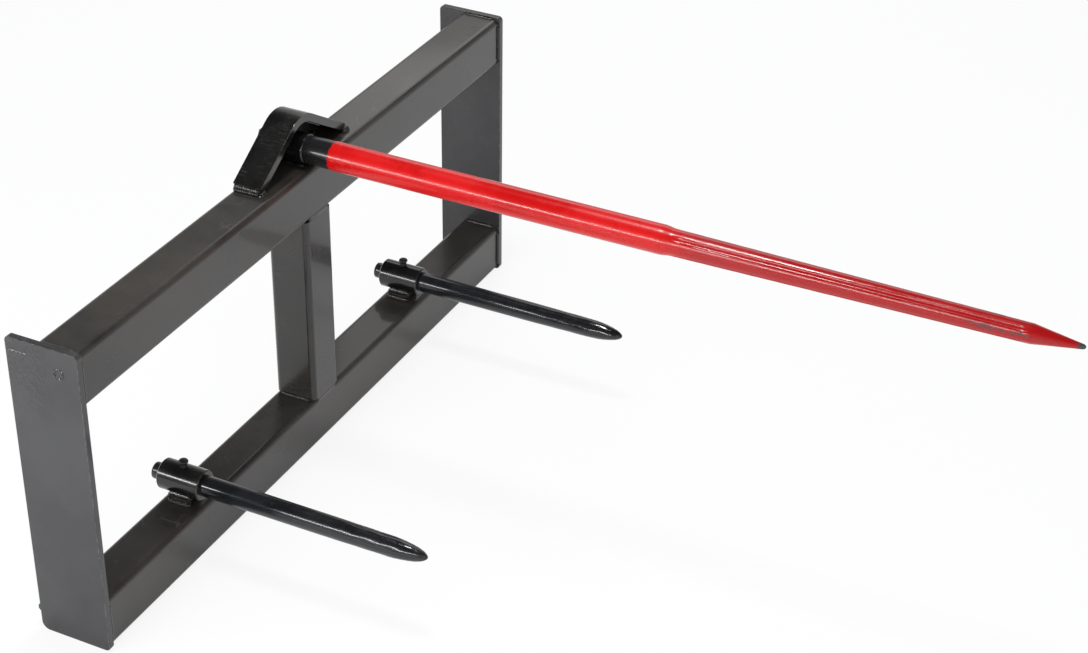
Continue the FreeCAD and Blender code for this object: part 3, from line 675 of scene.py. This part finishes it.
def fillet(start: Vector, end: Vector, first: Vector, second: Vector, leg: float,
           other_leg: float | None = None) -> Callable[[float], Station]:
    """Stations of a straight fillet weld.

    Args:
        start: Corner at one end.
        end: Corner at the other end.
        first: Unit direction along the first face, away from the corner.
        second: Unit direction along the second face.
        leg: Leg length on the first face in metres.
        other_leg: Leg length on the second face, the same if left out.

    Returns:
        Function from a share of the length to its station.
    """
    reach = leg if other_leg is None else other_leg

    def at(share: float) -> Station:
        """The station at a share of the length."""
        corner = start.lerp(end, share)
        return Station(corner + first * leg, corner + second * reach, corner)

    return at


def hoop(centre: Vector, axis: Vector, up: Vector, radius: float, leg: float, sweep: float = 1.0,
         begin: float = 0.0, flat: bool = False) -> Callable[[float], Station]:
    """Stations of a weld round a circle.

    Args:
        centre: Centre of the circle.
        axis: Unit direction that the weld's second toe climbs.
        up: Unit direction of angle zero.
        radius: Radius of the corner.
        leg: Leg length.
        sweep: Share of the full turn.
        begin: Share of the turn where it starts.
        flat: Whether the weld lies on one face and not in a corner.

    Returns:
        Function from a share of the length to its station.
    """
    side = axis.cross(up)

    def at(share: float) -> Station:
        """The station at a share of the turn."""
        angle = 2 * math.pi * (begin + share * sweep)
        out = up * math.cos(angle) + side * math.sin(angle)
        corner = centre + out * radius
        if flat:
            return Station(corner - out * leg, corner + out * leg, corner - axis * leg * 0.3)
        return Station(corner + out * leg, corner + axis * leg, corner)

    return at


X = Vector((1, 0, 0))
Y = Vector((0, 1, 0))
Z = Vector((0, 0, 1))


@dataclass
class WeldSet:
    """Weld runs that stand for one CAD node of welds."""

    node: str
    material: bpy.types.Material
    beads: list[WeldBead] = field(default_factory=list)

    def run(self, start: Vector, end: Vector, first: Vector, second: Vector, leg: float,
            **looks: float) -> None:
        """Add a straight fillet run.

        Args:
            start: Corner at one end.
            end: Corner at the other end.
            first: Direction along the first face.
            second: Direction along the second face.
            leg: Leg length in metres.
            **looks: Fields of the bead that differ from its defaults.
        """
        bead = WeldBead(fillet(start, end, first, second, leg), (end - start).length, **looks)
        bead.seed = len(self.beads) + len(self.node)
        self.beads.append(bead)

    def build(self) -> bpy.types.Object:
        """Make one piece of all the runs.

        Returns:
            The new piece.
        """
        mesh = bmesh.new()
        for bead in self.beads:
            bead.add_to(mesh)
        return finish_piece(mesh, self.node + "_rippled", self.material, Slot.WELD, [self.node], 75.0)


@dataclass
class FrameWelds:
    """Every weld of the black frame."""

    material: bpy.types.Material
    corner: float = 9.0 * MM
    leg: float = 3.6 * MM
    plug: float = 6.8 * MM
    plug_shift: tuple[float, float] = (-6.5 * MM, 8.5 * MM)
    slot: tuple[float, float] = (-32.0 * MM, -4.0 * MM)
    slot_drop: float = 20.0 * MM
    slot_leg: float = 2.0 * MM
    plug_leg: float = 2.2 * MM

    def build(self) -> list[bpy.types.Object]:
        """Make the sets at the tube ends, the post, the plates and the lug.

        Returns:
            The new pieces.
        """
        return [self.tube_ends(), self.post(), self.plates(), self.lug()]

    def tube_ends(self) -> bpy.types.Object:
        """Runs round the ends of both cross tubes."""
        welds = WeldSet("tube_end_welds", self.material)
        for tube in ("upper_tube", "lower_tube"):
            low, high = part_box(tube)
            for wall, inward in ((low.x, X), (high.x, -X)):
                top = Vector((wall, 0, high.z))
                welds.run(top + Y * (low.y + self.corner), top + Y * (high.y - self.corner), inward, Z,
                          self.leg)
                for depth, outward in ((low.y, -Y), (high.y, Y)):
                    edge = Vector((wall, depth, 0))
                    welds.run(edge + Z * (low.z + self.corner), edge + Z * (high.z - self.corner),
                              inward, outward, self.leg)
        return welds.build()

    def post(self) -> bpy.types.Object:
        """Runs beside the centre post and fillings under its flush faces."""
        welds = WeldSet("centre_post_welds", self.material)
        low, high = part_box("centre_post")
        for wall, outward in ((low.x, -X), (high.x, X)):
            for level, away in ((low.z, Z), (high.z, -Z)):
                edge = Vector((wall, 0, level))
                welds.run(edge + Y * (low.y + self.corner), edge + Y * (high.y - self.corner),
                          outward, away, self.leg, pitch=2.6, ripple=0.3)
        for level, away in ((low.z, Z), (high.z, -Z)):
            for depth, inward in ((low.y, Y), (high.y, -Y)):
                self.seam(welds, (low.x, high.x), depth, inward, level, away)
        return welds.build()

    def seam(self, welds: WeldSet, across: tuple[float, float], depth: float, inward: Vector,
             level: float, away: Vector) -> None:
        """Add the filling between the post's flush face and a tube's rounded corner.

        Args:
            welds: Set that it goes into.
            across: X at both ends of the post.
            depth: Y of the flush face.
            inward: Direction into the post.
            level: Z of the joint.
            away: Direction from the tube towards the post.
        """
        def at(share: float) -> Station:
            """The station at a share of the seam."""
            place = across[0] + self.corner + share * (across[1] - across[0] - 2 * self.corner)
            joint = Vector((place, depth, level))
            root = joint + inward * (2.4 * MM) - away * (2.4 * MM)
            return Station(joint + away * (0.4 * MM), joint - away * (6.9 * MM) + inward * (0.2 * MM), root)

        length = across[1] - across[0] - 2 * self.corner
        welds.beads.append(WeldBead(at, length, pitch=2.4, bulge=0.06, ripple=0.05,
                                    seed=len(welds.beads)))

    def plates(self) -> bpy.types.Object:
        """Plug and slot welds on the outer faces of the end plates."""
        welds = WeldSet("end_plate_welds", self.material)
        for side, outward in (("left", -X), ("right", X)):
            low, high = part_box(side + "_end_plate")
            wall = low.x if outward.x < 0 else high.x
            level = Vector((wall, 0, high.z - self.slot_drop))
            at = fillet(level + Y * self.slot[0], level + Y * self.slot[1], -Z, Z, self.slot_leg)
            welds.beads.append(self.proud(at, outward, self.slot[1] - self.slot[0], 4))
            tube_low, tube_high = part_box("upper_tube")
            centre = Vector((wall, (tube_low.y + tube_high.y) / 2 + self.plug_shift[0],
                             (tube_low.z + tube_high.z) / 2 + self.plug_shift[1]))
            ring = hoop(centre, outward, Z, self.plug, self.plug_leg, flat=True)
            welds.beads.append(WeldBead(ring, 2 * math.pi * self.plug, pitch=10.6, bulge=0.25,
                                        ripple=0.5, closed=True, seed=3, steps=24))
        return welds.build()

    @staticmethod
    def proud(stations: Callable[[float], Station], outward: Vector, length: float,
              seed: int) -> WeldBead:
        """A weld that stands on one face.

        Args:
            stations: Stations whose toes lie on the face.
            outward: Direction off the face.
            length: Length of the run.
            seed: Seed of the ripples.

        Returns:
            The bead.
        """
        def at(share: float) -> Station:
            """The station with its root behind the face."""
            place = stations(share)
            return Station(place.first, place.second, place.corner - outward * (0.8 * MM))

        return WeldBead(at, length, pitch=6.4, bulge=0.2, ripple=0.45, seed=seed, steps=16)

    def lug(self) -> bpy.types.Object:
        """Run above the rear lug."""
        welds = WeldSet("rear_lug_weld", self.material)
        low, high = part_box("rear_lug")
        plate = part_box("left_end_plate")[1].y
        edge = Vector((low.x, 0, high.z))
        welds.run(edge + Y * low.y, edge + Y * plate, X, Z, self.leg)
        return welds.build()


@dataclass
class SaddleWelds:
    """Welds at the saddle's feet, its web and the main sleeve."""

    material: bpy.types.Material
    leg: float = 5.6 * MM
    slope: float = math.radians(32.3)
    thickness: float = 12.0 * MM
    front_leg: float = 5.8 * MM
    sleeve_gap: float = 12.0 * MM
    ring_share: float = 0.86
    side_spread: float = 12.5 * MM

    def build(self) -> list[bpy.types.Object]:
        """Make the three sets.

        Returns:
            The new pieces.
        """
        return [self.feet(), self.web(), self.sleeve()]

    def feet(self) -> bpy.types.Object:
        """Two passes under each square-cut end and one across each front."""
        welds = WeldSet("saddle_foot_welds", self.material)
        low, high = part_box("saddle_strap")
        reach = self.thickness * 0.95
        wedge = math.pi / 2 - self.slope
        for wall, outward in ((low.x, -X), (high.x, X)):
            heel = Vector((wall, 0, low.z)) - outward * self.thickness * math.sin(self.slope)
            rays = [outward * math.cos(angle) + Z * math.sin(angle)
                    for angle in (0.0, wedge / 2, wedge)]
            for lower, upper in zip(rays, rays[1:]):
                welds.run(heel + Y * low.y, heel + Y * high.y, lower, upper, reach,
                          pitch=3.4, ripple=0.3)
            front = heel + Y * low.y
            welds.run(front + outward * self.thickness, front - outward * self.front_leg, -Y, Z,
                      self.front_leg, pitch=3.2, ripple=0.3)
        return welds.build()

    def web(self) -> bpy.types.Object:
        """Runs along the foot of the web on both sides of the sleeve."""
        welds = WeldSet("saddle_web_welds", self.material)
        low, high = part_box("saddle_web_welds")
        web_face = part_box("saddle_web")[0].y
        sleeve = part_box("main_sleeve")[1].x + self.sleeve_gap
        for side in (-1, 1):
            welds.run(Vector((side * sleeve, web_face, low.z)), Vector((side * high.x, web_face, low.z)),
                      -Y, Z, self.leg, pitch=3.0, ripple=0.25)
        return welds.build()

    def sleeve(self) -> bpy.types.Object:
        """Ring at the web and runs along both sides of the sleeve."""
        welds = WeldSet("main_sleeve_welds", self.material)
        low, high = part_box("main_sleeve")
        web_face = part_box("saddle_web")[0].y
        radius = (high.x - low.x) / 2
        centre = Vector((0, web_face, low.z + radius))
        ring = hoop(centre, -Y, Z, radius, self.leg, sweep=self.ring_share, begin=-self.ring_share / 2)
        welds.beads.append(WeldBead(ring, 2 * math.pi * radius * self.ring_share, pitch=3.1,
                                    ripple=0.28, seed=5))
        sunk = radius - math.sqrt(radius ** 2 - self.side_spread ** 2)
        for side in (-X, X):
            start = Vector((side.x * self.side_spread * 0.72, low.y + 3 * MM, low.z))
            end = Vector((start.x, web_face - 6 * MM, low.z))
            climb = (side * 0.55 + Z * (sunk / self.side_spread)).normalized()
            welds.run(start, end, side, climb, self.leg * 0.9, pitch=3.0, ripple=0.25)
        return welds.build()


@dataclass
class StabiliserWelds:
    """Welds that hold one stabiliser's pad and sleeve."""

    side: str
    material: bpy.types.Material
    leg: float = 4.0 * MM

    def build(self) -> bpy.types.Object:
        """Make the runs on both sides of the pad.

        Returns:
            The new piece.
        """
        welds = WeldSet(self.side + "_stabiliser_welds", self.material)
        low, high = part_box(self.side + "_stabiliser_pad")
        for wall, outward in ((low.x, -X), (high.x, X)):
            foot = Vector((wall, 0, low.z))
            head = Vector((wall - outward.x * 1.5 * MM, 0, high.z))
            welds.run(foot + Y * low.y, foot + Y * high.y, outward, Z, self.leg, pitch=3.3, ripple=0.34)
            welds.run(head + Y * (low.y + MM), head + Y * (high.y - MM), -Z + outward * 0.3,
                      Z + outward * 0.35, self.leg * 0.75, pitch=3.5, ripple=0.34)
        return welds.build()


# ------------------------------------------------------------------ forged spears

@dataclass
class Turning:
    """A forged bar built ring by ring, pointing to -Y."""

    axis: Vector
    rear: float
    stations: list[tuple[float, float]]
    sides: int = 72

    def mesh(self, shape: Callable[[float, float, float], float], step: float) -> bmesh.types.BMesh:
        """Sweep the rings and close both ends.

        Args:
            shape: Radius from distance along, plain radius and angle.
            step: Largest distance between rings in metres.

        Returns:
            The mesh.
        """
        mesh = bmesh.new()
        rings = []
        for distance, radius in self.spaced(step):
            rings.append([mesh.verts.new(self.point(distance, shape(distance, radius, angle), angle))
                          for angle in self.angles()])
        skin(mesh, rings)
        return mesh

    def angles(self) -> list[float]:
        """Angles of the ring's vertices, zero at the side and ninety degrees at the top."""
        return [2 * math.pi * index / self.sides for index in range(self.sides)]

    def point(self, distance: float, radius: float, angle: float) -> Vector:
        """Place of one vertex.

        Args:
            distance: Distance from the rear end.
            radius: Radius there.
            angle: Angle round the axis.

        Returns:
            The point in the part's frame.
        """
        return self.axis + Vector((radius * math.cos(angle), self.rear - distance,
                                   radius * math.sin(angle)))

    def spaced(self, step: float) -> list[tuple[float, float]]:
        """Stations with more rings between them.

        Args:
            step: Largest distance between rings.

        Returns:
            Distances and radii.
        """
        result = [self.stations[0]]
        for (start, small), (end, large) in zip(self.stations, self.stations[1:]):
            count = max(1, math.ceil((end - start) / step))
            for index in range(1, count + 1):
                share = index / count
                result.append((start + (end - start) * share, small + (large - small) * share))
        return result


@dataclass
class MainSpear:
    """The long red spear with its dark root, fluted taper and bare point."""

    material: bpy.types.Material
    stud: float = 24.0
    seat: float = 57.0
    root: float = 41.0
    shaft: float = 508.0
    shoulder: float = 16.0
    taper: float = 488.0
    point: float = 68.0
    stud_radius: float = 12.0
    seat_rear_radius: float = 14.0
    seat_front_radius: float = 18.0
    root_radius: float = 20.8
    rear_radius: float = 21.4
    front_radius: float = 20.7
    neck_radius: float = 18.6
    base_radius: float = 13.4
    flute: float = 6.0
    depth: float = 2.2
    run_out: float = 14.0

    def stations(self) -> list[tuple[float, float]]:
        """Distances from the rear end and radii in metres."""
        root = self.stud + self.seat
        shaft = root + self.root
        end = shaft + self.shaft
        neck = end + self.shoulder
        point = neck + self.taper
        tip = point + self.point
        sizes = [(0, self.stud_radius - 0.8), (0.8, self.stud_radius), (self.stud + 1.5, self.stud_radius),
                 (self.stud + 1.5, self.seat_rear_radius), (root, self.seat_front_radius),
                 (root, self.root_radius - 0.6), (root + 0.6, self.root_radius),
                 (shaft, self.root_radius), (shaft + 0.8, self.rear_radius - 0.1),
                 (shaft + 2.5, self.rear_radius), (end, self.front_radius),
                 (end + 4, self.front_radius - 0.4), (neck - 4, self.neck_radius + 0.4),
                 (neck, self.neck_radius), (point, self.base_radius), (point + 1.5, self.base_radius - 0.3),
                 (tip - 3.0, 3.4), (tip - 1.4, 2.7), (tip - 0.4, 1.6), (tip, 0.5)]
        return [(distance * MM, radius * MM) for distance, radius in sizes]

    def radius_at(self, distance: float, radius: float, angle: float) -> float:
        """Radius with the flutes and the forging's slight unevenness.

        Args:
            distance: Distance from the rear end.
            radius: Plain radius.
            angle: Angle round the axis.

        Returns:
            The radius in metres.
        """
        here = distance / MM
        start = self.stud + self.seat + self.root + self.shaft + self.shoulder
        if here < start - 2:
            return radius
        stop = start + self.taper
        fade = min(1.0, max(0.0, (here - start + 2) / self.run_out), max(0.0, (stop - here) / self.run_out))
        off = abs(angle % (math.pi / 2) - math.pi / 4)
        centre = radius / MM + self.flute - self.depth * fade
        reach = self.flute ** 2 - (centre * math.sin(off)) ** 2
        wave = 0.06 * math.sin(here * 0.19 + 2 * angle) * math.sin(here * 0.053)
        if reach <= 0 or fade <= 0:
            return radius + wave * MM
        return min(radius + wave * MM, (centre * math.cos(off) - math.sqrt(reach)) * MM)

    def build(self) -> bpy.types.Object:
        """Make the spear.

        Returns:
            The new piece.
        """
        low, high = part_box("main_spear")
        axis = Vector(((low.x + high.x) / 2, 0, (low.z + high.z) / 2))
        turning = Turning(axis, high.y, self.stations(), 144)
        return finish_piece(turning.mesh(self.radius_at, 6 * MM), "main_spear_forged", self.material,
                            Slot.RED, ["main_spear"], 24.0)


@dataclass
class StabiliserSpear:
    """A short black spear with a hammered nose."""

    side: str
    material: bpy.types.Material
    tail: float = 15.0
    shank: float = 68.0
    blade: float = 215.0
    taper: float = 78.0
    nose: float = 62.0
    tail_radius: float = 12.5
    shank_radius: float = 15.5
    front_radius: float = 15.3
    nose_radius: float = 14.8

    def stations(self) -> list[tuple[float, float]]:
        """Distances from the rear end and radii in metres."""
        mouth = self.tail + self.shank
        end = mouth + self.blade
        nose = end + self.taper
        sizes = [(0, self.tail_radius - 1.5), (0.7, self.tail_radius - 0.4), (1.6, self.tail_radius),
                 (self.tail, self.tail_radius), (self.tail + 0.2, self.shank_radius),
                 (mouth, self.shank_radius), (end, self.front_radius), (nose, self.nose_radius)]
        for share in (0.1, 0.2, 0.3, 0.4, 0.5, 0.6, 0.7, 0.78, 0.85, 0.91, 0.955, 0.985, 0.998):
            sizes.append((nose + self.nose * share, self.nose_radius * math.sqrt(1 - share ** 2)))
        return [(distance * MM, radius * MM) for distance, radius in sizes]

    def radius_at(self, distance: float, radius: float, angle: float) -> float:
        """Radius with hammer marks towards the nose.

        Args:
            distance: Distance from the rear end.
            radius: Plain radius.
            angle: Angle round the axis.

        Returns:
            The radius in metres.
        """
        start = (self.tail + self.shank + self.blade) * MM
        near = min(1.0, max(0.0, (distance - start + 0.02) / 0.06))
        shift = 1.3 if self.side == "left" else 3.1
        marks = math.sin(distance * 420 + 3 * angle + shift) * math.sin(5 * angle - distance * 260)
        facets = math.cos(4 * angle + shift)
        return radius - near * (0.22 + 0.2 * marks + 0.16 * facets) * MM

    def build(self) -> bpy.types.Object:
        """Make the spear.

        Returns:
            The new piece.
        """
        low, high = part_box(self.side + "_stabiliser_spear")
        axis = Vector(((low.x + high.x) / 2, 0, (low.z + high.z) / 2))
        turning = Turning(axis, high.y, self.stations(), 64)
        node = self.side + "_stabiliser_spear"
        return finish_piece(turning.mesh(self.radius_at, 4 * MM), node + "_forged", self.material,
                            Slot.STABILISER, [node], 30.0)


@dataclass
class RetainingPin:
    """Headed pin with a domed knob."""

    side: str
    material: bpy.types.Material
    radius: float = 5.0 * MM
    chamfer: float = 0.8 * MM
    neck_top: float = 7.6 * MM
    knob: float = 3.4 * MM
    fullness: float = 0.6
    steps: int = 10
    sides: int = 40

    def build(self) -> bpy.types.Object:
        """Turn the pin about its upright axis.

        Returns:
            The new piece.
        """
        node = self.side + "_stabiliser_pin"
        low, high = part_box(node)
        centre = (low + high) / 2
        head = (high.x - low.x) / 2
        tall = high.z - low.z
        profile = [(0.0, self.radius - self.chamfer), (self.chamfer, self.radius),
                   (tall - self.neck_top, self.radius)]
        for step in range(1, self.steps):
            angle = math.pi * step / self.steps
            profile.append((tall - self.knob * (1 + math.cos(angle)),
                            head * math.sin(angle) ** self.fullness))
        profile.append((tall, self.chamfer))
        mesh = bmesh.new()
        turns = [2 * math.pi * index / self.sides for index in range(self.sides)]
        skin(mesh, [[mesh.verts.new((centre.x + radius * math.cos(turn),
                                     centre.y + radius * math.sin(turn), low.z + height))
                     for turn in turns] for height, radius in profile])
        return finish_piece(mesh, node + "_turned", self.material, Slot.FASTENER, [node], 50.0)


# ------------------------------------------------------------------ assembly

@dataclass
class Workshop:
    """All finishes and the pieces that wear them."""

    finishes: dict[Slot, bpy.types.Material] = field(default_factory=dict)

    def mix_paints(self) -> None:
        """Make one material for each slot."""
        spear_low, spear_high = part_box("main_spear")
        sleeve_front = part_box("main_sleeve")[0].y
        paints = (
            (Slot.FRAME, Paint("frame_gloss_black", (0.016, 0.0142, 0.0128), (0.029, 0.0255, 0.0215),
                               (0.26, 0.36), cloud_scale=5.0)),
            (Slot.PLATE, Paint("plate_satin_black", (0.020, 0.020, 0.022), (0.034, 0.034, 0.036),
                               (0.30, 0.42), cloud_scale=7.0, peel=0.00008, scale_patch=True,
                               edge_colour=(0.22, 0.21, 0.20), edge_amount=0.8)),
            (Slot.BRACKET, Paint("bracket_deep_black", (0.0035, 0.0035, 0.0038), (0.007, 0.0068, 0.0065),
                                 (0.16, 0.24), cloud_scale=18.0, dust=0.05, edge_amount=0.35)),
            (Slot.WELD, Paint("weld_gloss_black", (0.006, 0.006, 0.006), (0.013, 0.012, 0.012),
                              (0.14, 0.24), cloud_scale=40.0, dust=0.04, edge_amount=0.25,
                              peel_scale=900.0)),
            (Slot.STABILISER, Paint("stabiliser_gloss_black", (0.005, 0.006, 0.008), (0.011, 0.012, 0.015),
                                    (0.16, 0.25), cloud_scale=16.0, dust=0.05, edge_amount=0.3)),
            (Slot.RED, ForgedSpearPaint("spear_red", sleeve_front - MainSpear.root * MM,
                                        spear_low.y + MainSpear.point * MM, spear_low.y,
                                        spear_low.y + (MainSpear.point + MainSpear.taper) * MM)),
            (Slot.FASTENER, OxidisedSteel("oxidised_fastener")),
        )
        for slot, finish in paints:
            self.finishes[slot] = finish.build()

    def eased(self, names: Iterable[str], slot: Slot, easing: float) -> None:
        """Redraw CAD nodes with eased edges.

        Args:
            names: The nodes.
            slot: Their material slot.
            easing: Size of the eased edges in millimetres.
        """
        for name in names:
            EasedPart(name, slot, self.finishes[slot], easing).build()

    def build(self) -> None:
        """Make every piece of the bale spear."""
        self.mix_paints()
        both = ("left", "right")
        self.eased(("upper_tube", "lower_tube", "centre_post"), Slot.FRAME, 0.4)
        self.eased([side + "_end_plate" for side in both], Slot.PLATE, 0.9)
        self.eased(("rear_lug",), Slot.PLATE, 0.8)
        self.eased(("saddle_strap", "main_sleeve"), Slot.BRACKET, 0.9)
        # Painted light: the web belongs to the black bracket but wears the frame's lighter paint, so the
        # shaded inside of the arch reads grey as if light reached into it.
        EasedPart("saddle_web", Slot.BRACKET, self.finishes[Slot.FRAME], 0.9).build()
        self.eased([side + "_stabiliser_pad" for side in both], Slot.BRACKET, 0.7)
        self.eased([side + "_stabiliser_sleeve" for side in both], Slot.BRACKET, 0.6)
        self.eased(("main_spear_washer", "main_spear_nut"), Slot.FASTENER, 0.5)
        MainSpear(self.finishes[Slot.RED]).build()
        weld = self.finishes[Slot.WELD]
        FrameWelds(weld).build()
        SaddleWelds(weld).build()
        for side in both:
            StabiliserSpear(side, self.finishes[Slot.STABILISER]).build()
            RetainingPin(side, self.finishes[Slot.FASTENER]).build()
            StabiliserWelds(side, weld).build()


# ------------------------------------------------------------------ studio

@dataclass
class Studio:
    """Pale floor, soft lights and the camera."""

    floor_drop: float = 0.0005
    floor_reach: float = 30.0
    floor_grey: float = 0.86
    focal: float = 73.82
    azimuth: float = math.radians(-64.142)
    elevation: float = math.radians(32.202)
    roll: float = math.radians(0.972)
    aim: tuple[float, float, float] = (0.0, -0.1075, 0.081)
    distance: float = 3.38713
    shift_right: float = 0.3295
    shift_up: float = 0.0971

    def build(self) -> None:
        """Set everything up."""
        scene = bpy.context.scene
        scene.view_settings.view_transform = "Standard"
        self.floor()
        self.world()
        self.lights()
        self.camera()

    def camera(self) -> None:
        """Place the camera."""
        back = Vector((math.sin(self.azimuth) * math.cos(self.elevation),
                       -math.cos(self.azimuth) * math.cos(self.elevation), math.sin(self.elevation)))
        level = Vector((math.cos(self.azimuth), math.sin(self.azimuth), 0))
        above = back.cross(level)
        right = level * math.cos(self.roll) + above * math.sin(self.roll)
        above = above * math.cos(self.roll) - level * math.sin(self.roll)
        data = bpy.data.cameras.new("camera")
        data.lens = self.focal
        data.sensor_width = 36.0
        data.clip_end = 100.0
        camera = bpy.data.objects.new("camera", data)
        turn = Matrix((right, above, back)).transposed().to_4x4()
        place = Vector(self.aim) + right * self.shift_right + above * self.shift_up + back * self.distance
        camera.matrix_world = Matrix.Translation(place) @ turn
        bpy.context.scene.collection.objects.link(camera)
        bpy.context.scene.camera = camera

    def seen_directly(self, graph: Graph) -> bpy.types.NodeSocket:
        """1 for rays that show the background itself."""
        rays = graph.node("ShaderNodeLightPath").outputs
        return graph.maths("MAXIMUM", rays["Is Camera Ray"], rays["Is Transmission Ray"])

    def floor(self) -> None:
        """Large pale floor that keeps the object's shadow."""
        mesh = bmesh.new()
        level = CAD_BOX[0].z - self.floor_drop
        corners = [mesh.verts.new((x * self.floor_reach, y * self.floor_reach, level))
                   for x, y in ((-1, -1), (1, -1), (1, 1), (-1, 1))]
        mesh.faces.new(corners)
        data = bpy.data.meshes.new("studio_floor")
        mesh.to_mesh(data)
        mesh.free()
        floor = bpy.data.objects.new("studio_floor", data)
        bpy.context.scene.collection.objects.link(floor)
        material = bpy.data.materials.new("pale_floor")
        material.use_nodes = True
        material.node_tree.nodes.clear()
        graph = Graph(material.node_tree)
        matt = graph.node("ShaderNodeBsdfDiffuse", {"Color": (self.floor_grey,) * 3})
        glow = graph.node("ShaderNodeEmission", {"Color": (1.0, 1.0, 1.0), "Strength": 1.0})
        rays = graph.node("ShaderNodeLightPath").outputs
        share = graph.maths("ADD", graph.maths("MULTIPLY", self.seen_directly(graph), self.floor_grey),
                            graph.maths("MULTIPLY", rays["Is Glossy Ray"], 0.2), True)
        both = graph.node("ShaderNodeMixShader", {0: share, 1: matt.outputs[0], 2: glow.outputs[0]})
        graph.node("ShaderNodeOutputMaterial", {0: both.outputs[0]})
        data.materials.append(material)

    def world(self) -> None:
        """White to the eye, a soft grey room to the light and to gloss."""
        world = bpy.data.worlds.new("studio")
        world.use_nodes = True
        world.node_tree.nodes.clear()
        graph = Graph(world.node_tree)
        direction = graph.node("ShaderNodeTexCoord").outputs["Generated"]
        height = graph.axes(direction)[2]
        room = graph.mix(graph.band(height, 0.0, 0.85), (0.62, 0.60, 0.57), (0.05, 0.05, 0.052))
        rays = graph.node("ShaderNodeLightPath").outputs
        colour = graph.mix(self.seen_directly(graph), room, (1.0, 1.0, 1.0))
        shown = graph.node("ShaderNodeBackground", {"Color": colour, "Strength": 1.0})
        soft = graph.node("ShaderNodeBackground", {"Color": (0.62, 0.63, 0.65), "Strength": 1.0})
        both = graph.node("ShaderNodeMixShader", {0: rays["Is Diffuse Ray"], 1: shown.outputs[0],
                                                  2: soft.outputs[0]})
        graph.node("ShaderNodeOutputWorld", {0: both.outputs[0]})
        bpy.context.scene.world = world

    def lights(self) -> None:
        """A low strip for the long highlights, a small high lamp for the welds, two soft fills."""
        low, high = CAD_BOX
        middle = (low + high) / 2
        self.softbox("strip", middle + Vector((-2.3, 0.95, 0.75)), middle, 2.6, 0.22, 36.0)
        self.softbox("spark", middle + Vector((0.1, 0.5, 2.7)), middle, 0.4, 0.4, 26.0)
        self.softbox("fill", middle + Vector((-2.2, -2.4, 1.6)), middle, 1.6, 1.6, 14.0)
        self.softbox("back", middle + Vector((2.6, 1.0, 1.9)), middle, 2.0, 1.2, 10.0)

    @staticmethod
    def softbox(name: str, place: Vector, target: Vector, wide: float, tall: float,
                power: float) -> None:
        """Add one rectangular lamp.

        Args:
            name: Name of the lamp.
            place: Where it hangs.
            target: Point it faces.
            wide: Width in metres.
            tall: Height in metres.
            power: Power in watts.
        """
        data = bpy.data.lights.new(name, "AREA")
        data.shape = "RECTANGLE"
        data.size = wide
        data.size_y = tall
        data.energy = power
        lamp = bpy.data.objects.new(name, data)
        lamp.location = place
        lamp.rotation_mode = "QUATERNION"
        lamp.rotation_quaternion = (place - target).to_track_quat("Z", "Y")
        bpy.context.scene.collection.objects.link(lamp)


def main() -> None:
    """Build the finishes, the pieces and the studio."""
    logging.basicConfig(level=logging.INFO, format="%(message)s")
    Workshop().build()
    Studio().build()


if __name__ == "__main__":
    main()
